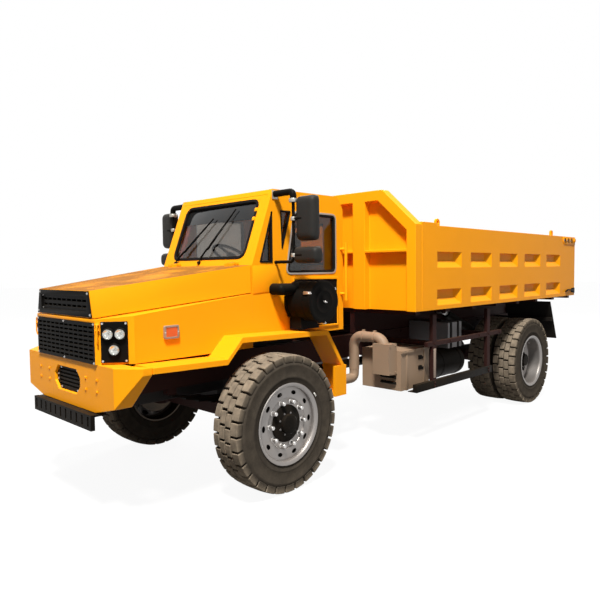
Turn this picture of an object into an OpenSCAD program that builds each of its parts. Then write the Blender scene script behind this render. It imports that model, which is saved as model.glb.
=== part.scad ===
// Mining dump truck with a short nose, a tipping bed and twin rear wheels.
// Millimetres, +Z up, +X forward, +Y to the truck's left, ground at zero.

/* [Overall] */
// Between axles
wheelbase = 4100; // [4000:4200]
// Front axle to foremost edge of bumper
front_overhang = 1295; // [1255:1335]
// Rear axle to rear face of bed
rear_overhang = 1362; // [1322:1402]
/* [Wheels] */
// Outer radius of every tyre, at tips of its blocks
tyre_r = 525; // [485:565]
// Width of tyre
tyre_w = 270; // [243:297]
// Bevel of tyre's shoulders
tyre_shoulder = 34; // [27:41]
// Count of tread blocks in row
lugs = 30; // [28:32]
// Height of tread block
lug_h = 24; // [19:29]
// Length of block, share of its pitch
lug_share = 0.8; // [0.76:0.01:0.84]
// Width of row of blocks, share of tyre's
lug_row_share = 0.3; // [0.26:0.01:0.34]
// Radius where tyre and rim meet
rim_r = 292; // [263:321]
// Thickness of rim's barrel
rim_t = 14; // [11:17]
// Middle plane of front tyre
front_wheel_y = 899; // [859:939]
// Middle plane between twin tyres
twin_mid_y = 860; // [820:900]
// Between middles of twin tyres
twin_spacing = 330; // [297:363]
// Thickness of wheel disc
disc_t = 16; // [13:19]
// Radius of flat where disc is bolted
disc_bolt_r = 190; // [171:209]
// Radius of hub
hub_r = 92; // [83:101]
// Length of hub past disc
hub_cap_h = 52; // [42:62]
// Radius of hub's cap
hub_cap_r = 70; // [63:77]
// Radius of brake drum
drum_r = 205; // [184:226]
// Width of front brake drum
front_drum_w = 95; // [86:105]
// Width of rear brake drum
rear_drum_w = 150; // [135:165]
// Front disc's flat out from tyre's middle
disc_out = 70; // [63:77]
// Depth of wheel's dished disc
dish = 52; // [42:62]
// Count of hand holes in disc
hand_holes = 10; // [8:12]
// Half-width of hand hole
hand_hole_r = 17; // [14:20]
// Length added to hand hole
hand_hole_l = 18; // [14:22]
/* [Steering] */
// Distance of kingpin from middle
kingpin_y = 730; // [690:770]
// Kingpin radius
kingpin_r = 24; // [19:29]
// Radius of axle's end eye
eye_r = 55; // [44:66]
// Height of axle beam and its end eyes
eye_h = 120; // [108:132]
// Thickness of knuckle's ears
ear_t = 40; // [32:48]
// Gap between ears and eye
ear_gap = 6; // [5:7]
// Knuckle web out from kingpin
web_y = 62; // [56:68]
// Thickness of knuckle's web
web_t = 26; // [21:31]
// Width of knuckle's web
web_w = 120; // [108:132]
// Radius of wheel spindle
spindle_r = 38; // [30:46]
// Steering arm back from kingpin
arm_back = 260; // [234:286]
// Width of steering arm
arm_w = 44; // [35:53]
// Radius of tie rod
tie_r = 16; // [13:19]
// Radius of tie rod's eye
tie_eye_r = 26; // [21:31]
// Height of tie rod's eye
tie_eye_h = 30; // [24:36]
// Radius of stud in tie rod's eye
stud_r = 14; // [11:17]
// Radius of steering wheel
wheel_ring_r = 190; // [171:209]
// Radius of steering wheel's ring
wheel_ring_t = 13; // [10:16]
// Count of steering wheel's spokes
wheel_spokes = 3; // [1:5]
// Steering wheel hub
column_x = -300; // [-330:-270]
// Height of steering wheel's hub
column_z = 1815; // [1775:1855]
// Lean of steering column in degrees
column_lean = 32; // [26:38]
// Radius of steering column
column_r = 22; // [18:26]
/* [Chassis] */
// Outer face of frame rail
rail_y = 380; // [342:418]
// Width of frame rail
rail_w = 80; // [72:88]
// Height of frame rail
rail_h = 220; // [198:242]
// Foot of frame rail
rail_z = 800; // [760:840]
// Thickness of frame rail
rail_t = 12; // [10:14]
// Rear end of rails
rail_rear_x = -5150; // [-5250:-5050]
// Width and height of cross member
cross = [110, 150]; // [-3000:3000]
// Half-length of rear bar
tail_bar_y = 650; // [610:690]
// Depth of rear bar
tail_bar_w = 60; // [54:66]
// Height of rear bar
tail_bar_h = 110; // [99:121]
// Spacing of towing holes, across
tow_dy = 160; // [144:176]
// Spacing of towing holes, upright
tow_dz = 56; // [45:67]
// Radius of towing hole
tow_hole_r = 9; // [7:11]
// Width of front axle beam
axle_w = 100; // [90:110]
// Radius of rear axle tube
axle_tube_r = 78; // [70:86]
// End of rear axle tube
axle_tube_y = 580; // [540:620]
// Radius of rear axle's drum housing
diff_r = 185; // [166:204]
// Length of rear axle's drum housing
diff_w = 300; // [270:330]
// Radius of pinion nose
nose_r = 70; // [63:77]
// Length of pinion nose
nose_l = 140; // [126:154]
// Middle plane of leaf spring
spring_y = 340; // [306:374]
// Width of leaf spring
spring_w = 72; // [65:79]
// Half-length of leaf spring
spring_half = 600; // [560:640]
// Rise of spring from its middle to its ends
spring_sag = 80; // [72:88]
// Thickness of leaf
leaf_t = 13; // [10:16]
// Count of leaves
leaves = 5; // [3:7]
// Height of spring pad
pad_h = 18; // [14:22]
// Width of spring hanger
hanger_w = 70; // [63:77]
// Height of drive shaft
driveline_z = 640; // [600:680]
// Radius of drive shaft
shaft_r = 48; // [38:58]
// Low corner of engine block
engine_low = [20, -255, 690]; // [-3000:3000]
// High corner of engine block
engine_high = [900, 255, 1290]; // [-3000:3000]
// Low corner of gearbox
gearbox_low = [-900, -165, 590]; // [-3000:3000]
// High corner of gearbox
gearbox_high = [20, 165, 1040]; // [-3000:3000]
// Rear corner of radiator
radiator_low = [970, -375]; // [-3000:3000]
// High corner of radiator
radiator_high = [1060, 375, 1440]; // [-3000:3000]
// Width and height of engine mount bar
mount_bar = [80, 60]; // [-3000:3000]
/* [Front] */
// Front face of bumper at its top
bumper_x = 1240; // [1200:1280]
// Depth of bumper
bumper_depth = 130; // [117:143]
// Half-width of bumper at its top
bumper_half = 845; // [805:885]
// Half-width of bumper at its foot
bumper_low_half = 430; // [390:470]
// Foot of bumper
bumper_z = 738; // [698:778]
// Top of bumper
bumper_top_z = 1070; // [1030:1110]
// Lower corner of bumper's ends
bumper_side_z = 1020; // [980:1060]
// Foot of bumper at its folds
bumper_fold_z = 800; // [760:840]
// Half-width of bumper's flat face
bumper_flat = 690; // [650:730]
// Setback of bumper's outer corners
bumper_sweep = 120; // [108:132]
// Half-width of bumper's grille
bumper_hole_half = 205; // [184:226]
// Foot and top of bumper's grille
hole_z = [830, 1005]; // [-3000:3000]
// Corner of bumper's grille, share of its height
bumper_corner_share = 0.33; // [0.29:0.01:0.37]
// Half-width of plate under bumper
guard_half = 470; // [430:510]
// Foot of plate under bumper
guard_z = 632; // [592:672]
// Thickness of plate under bumper
guard_t = 30; // [24:36]
// Width and height of slot in plate
guard_slot = [22, 70]; // [-3000:3000]
// Count of slots in plate
guard_slots = 11; // [9:13]
// Front face of nose
nose_x = 1252; // [1212:1292]
// Half-width of nose
nose_half = 632; // [592:672]
// Half-width of nose's flat front
nose_flat = 470; // [430:510]
// Where nose's slanted corners begin
nose_corner_x = 1050; // [1010:1090]
// Joint between hood and nose, in front
split_front_z = 1380; // [1340:1420]
// Joint between hood and nose, at cab
split_rear_z = 1510; // [1470:1550]
// Thickness of body panel
panel_t = 24; // [19:29]
// Half-width of hood's top edge, in front
hood_top_half = 412; // [372:452]
// Half-width of hood's lower edge, in front
hood_low_half = 455; // [415:495]
// Half-width of hood at cab
hood_rear_half = 626; // [586:666]
// Height of hood in front
hood_front_z = 1563; // [1523:1603]
// Height of hood at cab
hood_rear_z = 1728; // [1688:1768]
// Gap around hood
hood_gap = 8; // [6:10]
// Hood hinge from hood's rear edge
hood_set = 10; // [8:12]
// Inner end of hood hinge
hood_hinge_y = 380; // [342:418]
// Width of hood hinge's knuckle
hood_knuckle_w = 60; // [54:66]
// Radius of hood hinge's knuckle
hood_knuckle_r = 14; // [11:17]
// Room for hinge lug beside knuckle
hood_lug_w = 26; // [21:31]
// Radius of hood hinge's pin
hood_pin_r = 7; // [6:8]
// Frame around hood's grille
hood_border = 34; // [27:41]
// Thickness of grille
grille_t = 20; // [16:24]
// Width of grille's bars
grille_bar = 14; // [11:17]
// Width and height of grille's slots
slot = [60, 14]; // [-3000:3000]
// Width of lamp panel
lamp_panel_w = 176; // [158:194]
// Thickness of lamp panel
lamp_panel_t = 14; // [11:17]
// Height left above and below lamp panel
lamp_border = 14; // [11:17]
// Radius of head lamp
lamp_r = 36; // [29:43]
// Upper lamps from panel's middle
lamp_y = 39; // [31:47]
// Height of lower and upper lamps, shares of panel
lamp_shares = [0.32, 0.7]; // [-3000:3000]
// Depth of head lamp
lamp_h = 22; // [18:26]
// Side marker's middle and height
marker = [770, 1262]; // [-3000:3000]
// Length, thickness and height of side marker
marker_size = [112, 16, 86]; // [-3000:3000]
// Outer edge of fender
fender_y = 853; // [813:893]
// Thickness of fender
fender_t = 40; // [32:48]
// Height of fender's front end
fender_front_z = 1065; // [1025:1105]
// Foot of fender's slanted face
arch_kink = [440, 1050]; // [-3000:3000]
// Top of fender's slanted face
arch_top = [300, 1195]; // [-3000:3000]
// Rear end of fender's flat
arch_flat = [-640, 1172]; // [-3000:3000]
// Bend of fender behind wheel
arch_bend = [-850, 850]; // [-3000:3000]
// Lower end of fender
arch_tip = [-876, 585]; // [-3000:3000]
// Length of step at fender's foot
step_l = 150; // [135:165]
/* [Cab] */
// Front wall of cab
cab_front_x = 10; // [-30:50]
// Rear wall of cab
cab_rear_x = -1100; // [-1140:-1060]
// Half-width of cab
cab_half = 632; // [592:672]
// Foot of cab
cab_z = 1130; // [1090:1170]
// Thickness of cab's walls
cab_t = 44; // [35:53]
// Foot of windscreen
screen_z = 1728; // [1688:1768]
// Top of windscreen
screen_top_x = -225; // [-248:-202]
// Top of roof
roof_z = 2347; // [2307:2387]
// Length of bevel at roof's rear
roof_bevel = 80; // [72:88]
// Drop of bevel at roof's rear, share of glass height
roof_rear_share = 0.11; // [0.07:0.01:0.15]
// Half-width of windscreen
screen_half = 510; // [470:550]
// Windscreen's foot and top, shares of glass height
screen_shares = [0.097, 0.947]; // [-3000:3000]
// Thickness of glass
glass_t = 10; // [8:12]
// Foot of side window's slanted front edge
window_front_x = -372; // [-409:-335]
// Slant of side window's front edge
window_lean = 95; // [86:105]
// Front edge of light before window
light_front_x = -308; // [-339:-277]
// Foot of light before window
light_foot_x = -322; // [-354:-290]
// Rear edge of side window
window_rear_x = -995; // [-1035:-955]
// Foot of side window, below windscreen's foot
window_drop = 70; // [63:77]
// Top of side window, share of glass height
window_top_share = 0.779; // [0.74:0.01:0.82]
// Rear edge of quarter window
vent_x = -208; // [-229:-187]
// Front foot of quarter window
vent_foot_x = -75; // [-82:-68]
// Foot of quarter window, share of glass height
vent_share = 0.039; // [-0.0:0.01:0.08]
// Top of quarter window, share of glass height
vent_top_share = 0.76; // [0.72:0.01:0.8]
// Foot of light before window, share of glass height
light_share = 0.231; // [0.19:0.01:0.27]
// Half-width of rear window
back_window_half = 420; // [380:460]
// Top of rear window, share of glass height
back_top_share = 0.682; // [0.64:0.01:0.72]
// Front edge of door
door_front_x = -262; // [-288:-236]
// Rear edge of door
door_rear_x = -1035; // [-1075:-995]
// Foot of door
door_z = 1212; // [1172:1252]
// Top of door, share of glass height
door_top_share = 0.943; // [0.9:0.01:0.98]
// Gap around door
door_gap = 6; // [5:7]
// Frame around door's glass
door_pane_border = 70; // [63:77]
// Door hinge out from cab's face
hinge_out = 20; // [16:24]
// Radius of door hinge
hinge_r = 12; // [10:14]
// Radius of door hinge's pin
hinge_pin_r = 6; // [5:7]
// Height of door hinge's lug
hinge_lug_h = 24; // [19:29]
// Length of door hinge leaf
hinge_l = 90; // [81:99]
// Depth of dashboard
dash_depth = 230; // [207:253]
// Foot of dashboard
dash_z = 1500; // [1460:1540]
// Top of dashboard
dash_top_z = 1690; // [1650:1730]
// Front of seat
seat_front_x = -520; // [-560:-480]
// Rear of seat
seat_rear_x = -985; // [-1025:-945]
// Half-width of seat
seat_half = 245; // [220:270]
// Foot of seat's cushion
seat_z = 1400; // [1360:1440]
// Height of seat's cushion
seat_h = 110; // [99:121]
// Thickness of seat's back
seat_back_t = 120; // [108:132]
// Top of seat's back, share of glass height
seat_back_share = 0.577; // [0.54:0.01:0.62]
// Half-width of seat's pedestal
seat_foot_half = 150; // [135:165]
// Middle of mirror
mirror_x = -275; // [-302:-248]
// Middle of mirror
mirror_y = 962; // [922:1002]
// Width of mirror
mirror_w = 205; // [184:226]
// Depth of mirror
mirror_t = 80; // [72:88]
// Foot and top of main mirror
mirror_main = [1915, 2268]; // [-3000:3000]
// Foot and top of lower mirror
mirror_low = [1738, 1868]; // [-3000:3000]
// Radius of mirror's tube
mirror_tube_r = 13; // [10:16]
// Radius of mirror's corners
mirror_round = 38; // [30:46]
// Mirror's tube and arms
mirror_arm_x = -245; // [-270:-220]
// Height of mirror's arm
mirror_arm_z = 2300; // [2260:2340]
// Length of wiper
wiper_l = 575; // [535:615]
// Width of wiper
wiper_w = 16; // [13:19]
// Middle of each wiper's foot
wiper_y = [-438, -80]; // [-3000:3000]
// Slant of wiper in degrees
wiper_turn = -38; // [-46:-30]
// Grab rail
rail_grab_x = -1072; // [-1112:-1032]
// Foot and top of grab rail
grab_z = [1400, 1930]; // [-3000:3000]
// Grab rail out from cab
rail_grab_out = 60; // [54:66]
// Radius of grab rail
rail_grab_r = 14; // [11:17]
/* [Fittings] */
// Air cleaner's middle
drum = [-482, 1425]; // [-3000:3000]
// Radius of air cleaner
cleaner_r = 176; // [158:194]
// Inner and outer end of air cleaner
cleaner_y = [664, 950]; // [-3000:3000]
// Half-length of air cleaner's bracket
cleaner_foot_half = 110; // [99:121]
// Width of air cleaner's bracket
cleaner_foot_w = 130; // [117:143]
// Length of air cleaner's cap
cleaner_cap = 26; // [21:31]
// Height of cap's rim
cleaner_rim = 8; // [6:10]
// Radius of air cleaner's elbow
intake_r = 48; // [38:58]
// Front end and height of elbow
intake = [-215, 1530]; // [-3000:3000]
// Low corner of exhaust box
box_low = [-1985, 540, 530]; // [-3000:3000]
// High corner of exhaust box
box_high = [-1500, 1000, 910]; // [-3000:3000]
// Low corner of exhaust box's duct
duct_low = [-1500, 766, 690]; // [-3000:3000]
// High corner of exhaust box's duct
duct_high = [-1370, 952, 980]; // [-3000:3000]
// Radius of exhaust pipe
pipe_r = 50; // [40:60]
// Bend radius of exhaust pipe
pipe_bend = 100; // [90:110]
// Exhaust pipe
pipe_x = -1432; // [-1472:-1392]
// Exhaust pipe
pipe_y = 490; // [450:530]
// Lower end of exhaust pipe
pipe_z = 700; // [660:740]
// Height of bracket arm
bracket_h = 50; // [40:60]
// Inner face of side guards
guard_y = 1080; // [1040:1120]
// Thickness of side guards
guard_w = 40; // [32:48]
// Width of side guard's post
guard_post_w = 70; // [63:77]
// Front and rear post of side guard
guard_posts = [-1895, -3015]; // [-3000:3000]
// Foot and top of guard posts
guard_post_ends = [520, 1235]; // [-3000:3000]
// Upper rail of side guard
guard_up_z = 930; // [890:970]
// Height of upper rail
guard_up_h = 46; // [37:55]
// Rear and front end of upper rail
guard_up_x = [-3333, -1770]; // [-3000:3000]
// Height of lower rail
guard_low_h = 70; // [63:77]
// Rear and front end of lower rail
guard_low_x = [-3095, -1580]; // [-3000:3000]
// Rear foot of oil tank
oil_low = [-2850, 815]; // [-3000:3000]
// High corner of oil tank
oil_high = [-2560, 880, 1095]; // [-3000:3000]
// Rear foot of fuel tank
fuel_low = [-2380, 560]; // [-3000:3000]
// Front outer edge of fuel tank
fuel_high = [-1480, 900]; // [-3000:3000]
// Radius of air tank
air_r = 160; // [144:176]
// Air tank's middle across and up
air_mid = [720, 645]; // [-3000:3000]
// Rear and front end of air tank
air_x = [-2920, -2080]; // [-3000:3000]
// Upper edge of mud flap
flap_x = -4640; // [-4740:-4540]
// Slant of mud flap
flap_slant = 220; // [198:242]
// Thickness of mud flap
flap_t = 16; // [13:19]
// Inner and outer edge of mud flap
flap_y = [545, 1160]; // [-3000:3000]
// Foot and top of mud flap
flap_z_ends = [735, 1235]; // [-3000:3000]
// Height of mud flap's bar
flap_bar_h = 46; // [37:55]
// Inner edge of tail lamp
tail_lamp_y = 480; // [440:520]
// Depth, width and height of tail lamp
tail_lamp = [34, 150, 70]; // [-3000:3000]
/* [Bed] */
// Front face of headboard
bed_front_x = -1480; // [-1520:-1440]
// Half-width of bed
bed_half = 1173; // [1133:1213]
// Foot of bed's walls
bed_z = 1288; // [1248:1328]
// Top of bed's side walls
bed_top_z = 2092; // [2052:2132]
// Top of headboard
head_top_z = 2436; // [2396:2476]
// Half-width of headboard's top
head_flat = 797; // [757:837]
// Thickness of headboard
head_t = 110; // [99:121]
// Thickness of side wall
wall_t = 70; // [63:77]
// Thickness of bed's floor
floor_t = 40; // [32:48]
// Width of bed beam
beam_w = 60; // [54:66]
// Foot of bed beams
beam_z = 1026; // [986:1066]
// Width and height of cross bearer
bearer = [70, 40]; // [-3000:3000]
// Count of cross bearers
bearers = 8; // [6:10]
// Count of pockets in row
pockets = 5; // [3:7]
// First pocket from headboard's face
pocket_first = 375; // [338:413]
// Distance from pocket to pocket
pocket_pitch = 655; // [615:695]
// Length of pocket
pocket_l = 460; // [420:500]
// Height of pocket
pocket_h = 150; // [135:165]
// Depth of pocket
pocket_d = 45; // [36:54]
// Length of pocket's slanted end
pocket_end = 95; // [86:105]
// Foot of lower row of pockets
pocket_low_z = 1330; // [1290:1370]
// Foot of upper row of pockets
pocket_up_z = 1692; // [1652:1732]
// Frame around headboard's recess
head_border = 100; // [90:110]
// Depth of headboard's recess
head_recess = 75; // [68:82]
// Inner edge of headboard's upright ribs
head_rib_y = 440; // [400:480]
// Width of headboard's upright rib
head_rib_w = 150; // [135:165]
// Foot of headboard's cross rib
head_bar_z = 1842; // [1802:1882]
// Height of headboard's cross rib
head_bar_h = 26; // [21:31]
// Height of side wall's raised front end
wall_rise = 25; // [20:30]
// Length of side wall's raised front end
wall_rise_l = 370; // [333:407]
// Bed hinge
pivot_x = -5100; // [-5200:-5000]
// Height of bed hinge
pivot_z = 1090; // [1050:1130]
// Radius of bed's hinge pin
pivot_r = 35; // [28:42]
// Radius of bed's hinge lug
lug_r = 64; // [58:70]
// Thickness of hinge fork's plate
fork_t = 18; // [14:22]
// Gap between lug and fork
fork_gap = 6; // [5:7]
// Thickness of tailgate
gate_t = 56; // [45:67]
// Gap around tailgate
gate_gap = 6; // [5:7]
// Top of tailgate
gate_top_z = 2086; // [2046:2126]
// Tailgate hinge
gate_pin_x = -5424; // [-5524:-5324]
// Height of tailgate's hinge
gate_pin_z = 2046; // [2006:2086]
// Radius of tailgate's pins
gate_pin_r = 20; // [16:24]
// Count of tailgate ribs
gate_ribs = 5; // [3:7]
// Width of tailgate rib
gate_rib_w = 90; // [81:99]
// Height of tailgate rib
gate_rib_t = 26; // [21:31]
// Radius of lifting lug
hook_r = 36; // [29:43]
// Thickness of lifting lug
hook_t = 24; // [19:29]
// Height of lifting lug's hole above wall
hook_rise = 34; // [27:41]
// Radius of lifting lug's hole
hook_hole_r = 16; // [13:19]
// Front lifting lug
hook_front_x = -1900; // [-1940:-1860]
// Rear lifting lug
hook_rear_x = -4700; // [-4800:-4600]
/* [Hoist] */
// Middle plane of hoist cylinder
hoist_y = 460; // [420:500]
// Lower pin of hoist cylinder
hoist_base_x = -4200; // [-4300:-4100]
// Height of lower pin
hoist_base_z = 740; // [700:780]
// Upper eye of hoist cylinder, bed down
hoist_eye_x = -3100; // [-3200:-3000]
// Height of upper eye, bed down
hoist_eye_z = 1190; // [1150:1230]
// Radius of barrel
barrel_r = 55; // [44:66]
// Radius of rod
rod_r = 32; // [26:38]
// Radius of hoist's pins
hoist_pin_r = 30; // [24:36]
// Radius of hoist's eyes
hoist_eye_r = 47; // [38:56]
// Width of hoist's eyes
hoist_eye_w = 66; // [59:73]
// Barrel from its lower pin
barrel_start = 66; // [59:73]
// Rod left free, bed down
barrel_free = 140; // [126:154]
// Rod's inner end from lower pin
rod_start = 215; // [194:237]
// Thickness of bed's hoist ears
ear_side_t = 18; // [14:22]
/* [Fits] */
// Radial gap of running pin
run_gap = 0.3; // [0.15:0.05:0.6]
// Overrun of cut past face
overrun = 10; // [8:12]

/* [Hidden] */
$fn = 64;
half = 1 / 2;
full_turn = 360;
quarter = 90;
axle_x = (wheelbase + rear_overhang + gate_rib_t - front_overhang) * half;
axle_z = tyre_r;
rear_axle_x = -wheelbase;
bed_rear_x = -wheelbase - rear_overhang;
rail_front_x = bumper_x - bumper_depth;
fender_front_x = rail_front_x - bumper_sweep * half;
rail_top_z = rail_z + rail_h;
rail_in_y = rail_y - rail_w;
rail_len = rail_front_x - rail_rear_x;
cross_shares = [0.012, 0.36, 0.5, 0.64, 0.75, 0.985];
spring_fn = 720;
cab_in = cab_half - cab_t;
roof_in_z = roof_z - cab_t;
lean = (screen_top_x - cab_front_x) / (roof_z - screen_z);
lean_deg = atan(lean);
function screen_x(z) = cab_front_x + (z - screen_z) * lean;
glass_rise = roof_in_z - screen_z;
roof_rear_z = roof_in_z - glass_rise * roof_rear_share;
window_z = screen_z - window_drop;
window_top_z = screen_z + glass_rise * window_top_share;
vent_z = screen_z + glass_rise * vent_share;
vent_top_z = screen_z + glass_rise * vent_top_share;
light_foot_z = screen_z + glass_rise * light_share;
back_window_top_z = screen_z + glass_rise * back_top_share;
door_top_z = screen_z + glass_rise * door_top_share;
seat_back_z = screen_z + glass_rise * seat_back_share;
screen_foot_z = screen_z + glass_rise * screen_shares[0];
screen_head_z = screen_z + glass_rise * screen_shares[1];
door_hinge_x = door_front_x - door_gap;
door_hinge_y = -cab_half - hinge_out;
split_slope = (split_rear_z - split_front_z) / (cab_front_x - nose_x);
function split_z(x) = split_front_z + (x - nose_x) * split_slope;
hood_back_x = cab_front_x + hood_gap;
hood_hinge_x = hood_back_x + hood_set;
hood_hinge_z = hood_rear_z + hood_knuckle_r;
chamfer_dx = nose_x - nose_corner_x;
chamfer_dy = nose_half - nose_flat;
chamfer_turn = atan2(chamfer_dx, chamfer_dy);
floor_top_z = bed_z + floor_t;
bearer_z = bed_z - bearer[1];
wall_in = bed_half - wall_t;
wall_front_x = bed_front_x - head_t;
beam_y = rail_y - rail_w * half;
hoist_dx = hoist_eye_x - hoist_base_x;
hoist_dz = hoist_eye_z - hoist_base_z;
hoist_len = sqrt(hoist_dx * hoist_dx + hoist_dz * hoist_dz);
hoist_turn = atan2(hoist_dz, hoist_dx);
barrel_len = hoist_len - barrel_free - barrel_start;
ear_low_z = axle_z - eye_h * half - ear_gap - ear_t;
ear_top_z = axle_z + eye_h * half + ear_gap + ear_t;
stud_z = ear_low_z + ear_t;
tie_z = stud_z + ear_gap + tie_eye_h * half;
spring_r = (spring_half * spring_half + spring_sag * spring_sag) / (spring_sag + spring_sag);
spring_in_r = spring_r - leaves * leaf_t;
spring_end_z = axle_z + eye_h * half + pad_h + run_gap + spring_r
  - sqrt(spring_in_r * spring_in_r - spring_half * spring_half);
inner_wheel_y = twin_mid_y - twin_spacing * half;
outer_wheel_y = twin_mid_y + twin_spacing * half;
twin_disc = (tyre_w - tyre_shoulder) * half - disc_t;
lug_turn = full_turn / lugs;
foot_r = tyre_r - lug_h;
paint = [0.98, 0.62, 0.08];
dark = [0.08, 0.08, 0.09];
steel = [0.45, 0.45, 0.47];
maroon = [0.16, 0.09, 0.08];
taupe = [0.50, 0.44, 0.37];
rubber = [0.22, 0.20, 0.18];
pane = [0.35, 0.45, 0.50];
clear = [0.90, 0.92, 0.92];
amber = [0.95, 0.40, 0.05];
cloth = [0.20, 0.20, 0.22];

// A box between two corners
module box(low, high) {
  translate(low) cube(high - low);
}

// An outline in X and Z, drawn out from y0 to y1
module xz(y0, y1) {
  translate([0, y1, 0]) rotate([quarter, 0, 0]) linear_extrude(y1 - y0) children();
}

// An outline in Y and Z, drawn out from x0 to x1
module yz(x0, x1) {
  translate([x0, 0, 0]) rotate([quarter, 0, quarter]) linear_extrude(x1 - x0) children();
}

// An outline in X and Y, drawn out from z0 to z1
module xy(z0, z1) {
  translate([0, 0, z0]) linear_extrude(z1 - z0) children();
}

// A round bar along Y
module bar_y(r, x, z, y0, y1, fn = $fn) {
  translate([x, y1, z]) rotate([quarter, 0, 0]) cylinder(r = r, h = y1 - y0, $fn = fn);
}

// A round bar along X
module bar_x(r, y, z, x0, x1) {
  translate([x0, y, z]) rotate([0, quarter, 0]) cylinder(r = r, h = x1 - x0);
}

// An upright round bar
module bar_z(r, x, y, z0, z1) {
  translate([x, y, z0]) cylinder(r = r, h = z1 - z0);
}

// The child on both sides of the middle plane
module both() {
  children();
  mirror([0, 1, 0]) children();
}

// Lengths in the modules below are measured from the front axle
module at_axle() {
  translate([axle_x, 0, 0]) children();
}

// One frame rail, a channel open to the inside
module rail() {
  difference() {
    box([rail_rear_x, rail_in_y, rail_z], [rail_front_x, rail_y, rail_top_z]);
    box([rail_rear_x - overrun, rail_in_y - overrun, rail_z + rail_t],
      [rail_front_x + overrun, rail_y - rail_t, rail_top_z - rail_t]);
  }
}

// Fork on a rail's end that holds the bed's hinge pin
module hinge_fork() {
  for (y = [beam_y - beam_w * half - fork_gap - fork_t, beam_y + beam_w * half + fork_gap])
    xz(y, y + fork_t) union() {
      translate([pivot_x, pivot_z]) circle(lug_r - fork_gap);
      translate([pivot_x - lug_r + fork_gap, rail_top_z])
        square([(lug_r - fork_gap) / half, pivot_z - rail_top_z]);
    }
  bar_y(pivot_r, pivot_x, pivot_z, beam_y - beam_w * half - fork_gap - fork_t,
    beam_y + beam_w * half + fork_gap + fork_t);
}

// Rear bar with the four holes of a towing coupling
module tail_bar() {
  difference() {
    box([rail_rear_x - tail_bar_w, -tail_bar_y, rail_z],
      [rail_rear_x, tail_bar_y, rail_z + tail_bar_h]);
    for (y = [-tow_dy * half, tow_dy * half], z = [-tow_dz * half, tow_dz * half])
      bar_x(tow_hole_r, y, rail_z + tail_bar_h * half + z, rail_rear_x - tail_bar_w - overrun,
        rail_rear_x + overrun);
  }
}

module frame() {
  color(maroon) at_axle() {
    both() {
      rail();
      hinge_fork();
      bar_y(hoist_eye_r, hoist_base_x, hoist_base_z, rail_in_y,
        hoist_y - hoist_eye_w * half - fork_gap);
      box([hoist_base_x - hoist_eye_r, rail_in_y, hoist_base_z],
        [hoist_base_x + hoist_eye_r, rail_y, rail_z + rail_t]);
      bar_y(hoist_pin_r, hoist_base_x, hoist_base_z, rail_y, hoist_y + hoist_eye_w * half + fork_gap);
      for (x = [spring_half, -spring_half, rear_axle_x + spring_half, rear_axle_x - spring_half])
        box([x - hanger_w * half, spring_y - spring_w * half, spring_end_z],
          [x + hanger_w * half, spring_y + spring_w * half, rail_z]);
    }
    for (s = cross_shares) {
      x = rail_front_x - rail_len * s;
      box([x - cross[0] * half, rail_t - rail_y, rail_z + rail_t],
        [x + cross[0] * half, rail_y - rail_t, rail_z + rail_t + cross[1]]);
    }
    tail_bar();
  }
}

module front_axle() {
  color(maroon) at_axle() difference() {
    union() {
      box([-axle_w * half, -kingpin_y, axle_z - eye_h * half],
        [axle_w * half, kingpin_y, axle_z + eye_h * half]);
      both() {
        bar_z(eye_r, 0, kingpin_y, axle_z - eye_h * half, axle_z + eye_h * half);
        box([-axle_w, spring_y - spring_w * half, axle_z + eye_h * half],
          [axle_w, spring_y + spring_w * half, axle_z + eye_h * half + pad_h]);
      }
    }
    both() bar_z(kingpin_r + run_gap, 0, kingpin_y, axle_z - eye_h, axle_z + eye_h);
  }
}

module rear_axle() {
  color(maroon) at_axle() {
    bar_y(axle_tube_r, rear_axle_x, axle_z, -axle_tube_y, axle_tube_y);
    bar_y(spindle_r, rear_axle_x, axle_z, -outer_wheel_y, outer_wheel_y);
    bar_y(diff_r, rear_axle_x, axle_z, -diff_w * half, diff_w * half);
    bar_x(nose_r, 0, driveline_z, rear_axle_x, rear_axle_x + diff_r + nose_l);
    both() box([rear_axle_x - axle_w, spring_y - spring_w * half, axle_z],
      [rear_axle_x + axle_w, spring_y + spring_w * half, axle_z + eye_h * half + pad_h]);
  }
}

// One leaf spring, its leaves curved up to the ends
module spring(x) {
  z = axle_z + eye_h * half + pad_h;
  for (i = [0 : leaves - 1]) {
    reach = spring_half * (i + 1) / leaves;
    intersection() {
      difference() {
        bar_y(spring_r - i * leaf_t, x, z + spring_r, spring_y - spring_w * half,
          spring_y + spring_w * half, spring_fn);
        bar_y(spring_r - (i + 1) * leaf_t, x, z + spring_r, spring_y - spring_w, spring_y + spring_w,
          spring_fn);
      }
      box([x - reach, spring_y - spring_w, z - overrun], [x + reach, spring_y + spring_w, rail_z]);
    }
  }
}

module leaf_springs() {
  color(dark) at_axle() both() {
    spring(0);
    spring(rear_axle_x);
  }
}

module engine() {
  mount_bar_x = (engine_low[0] + engine_high[0]) * half;
  color(steel) at_axle() {
    box(engine_low, engine_high);
    box(gearbox_low, gearbox_high);
    box([mount_bar_x - mount_bar[0] * half, rail_t - rail_y, rail_z + rail_t],
      [mount_bar_x + mount_bar[0] * half, rail_y - rail_t, rail_z + rail_t + mount_bar[1]]);
    box([radiator_low[0], radiator_low[1], rail_top_z], radiator_high);
  }
}

module drive_shaft() {
  color(dark) at_axle() bar_x(shaft_r, 0, driveline_z, rear_axle_x + diff_r + nose_l, gearbox_low[0]);
}

// Outline of the bumper from the front
module bumper_face() {
  polygon([[bumper_low_half, bumper_z], [bumper_flat, bumper_fold_z], [bumper_half, bumper_side_z],
    [bumper_half, bumper_top_z], [-bumper_half, bumper_top_z], [-bumper_half, bumper_side_z],
    [-bumper_flat, bumper_fold_z], [-bumper_low_half, bumper_z]]);
}

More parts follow.
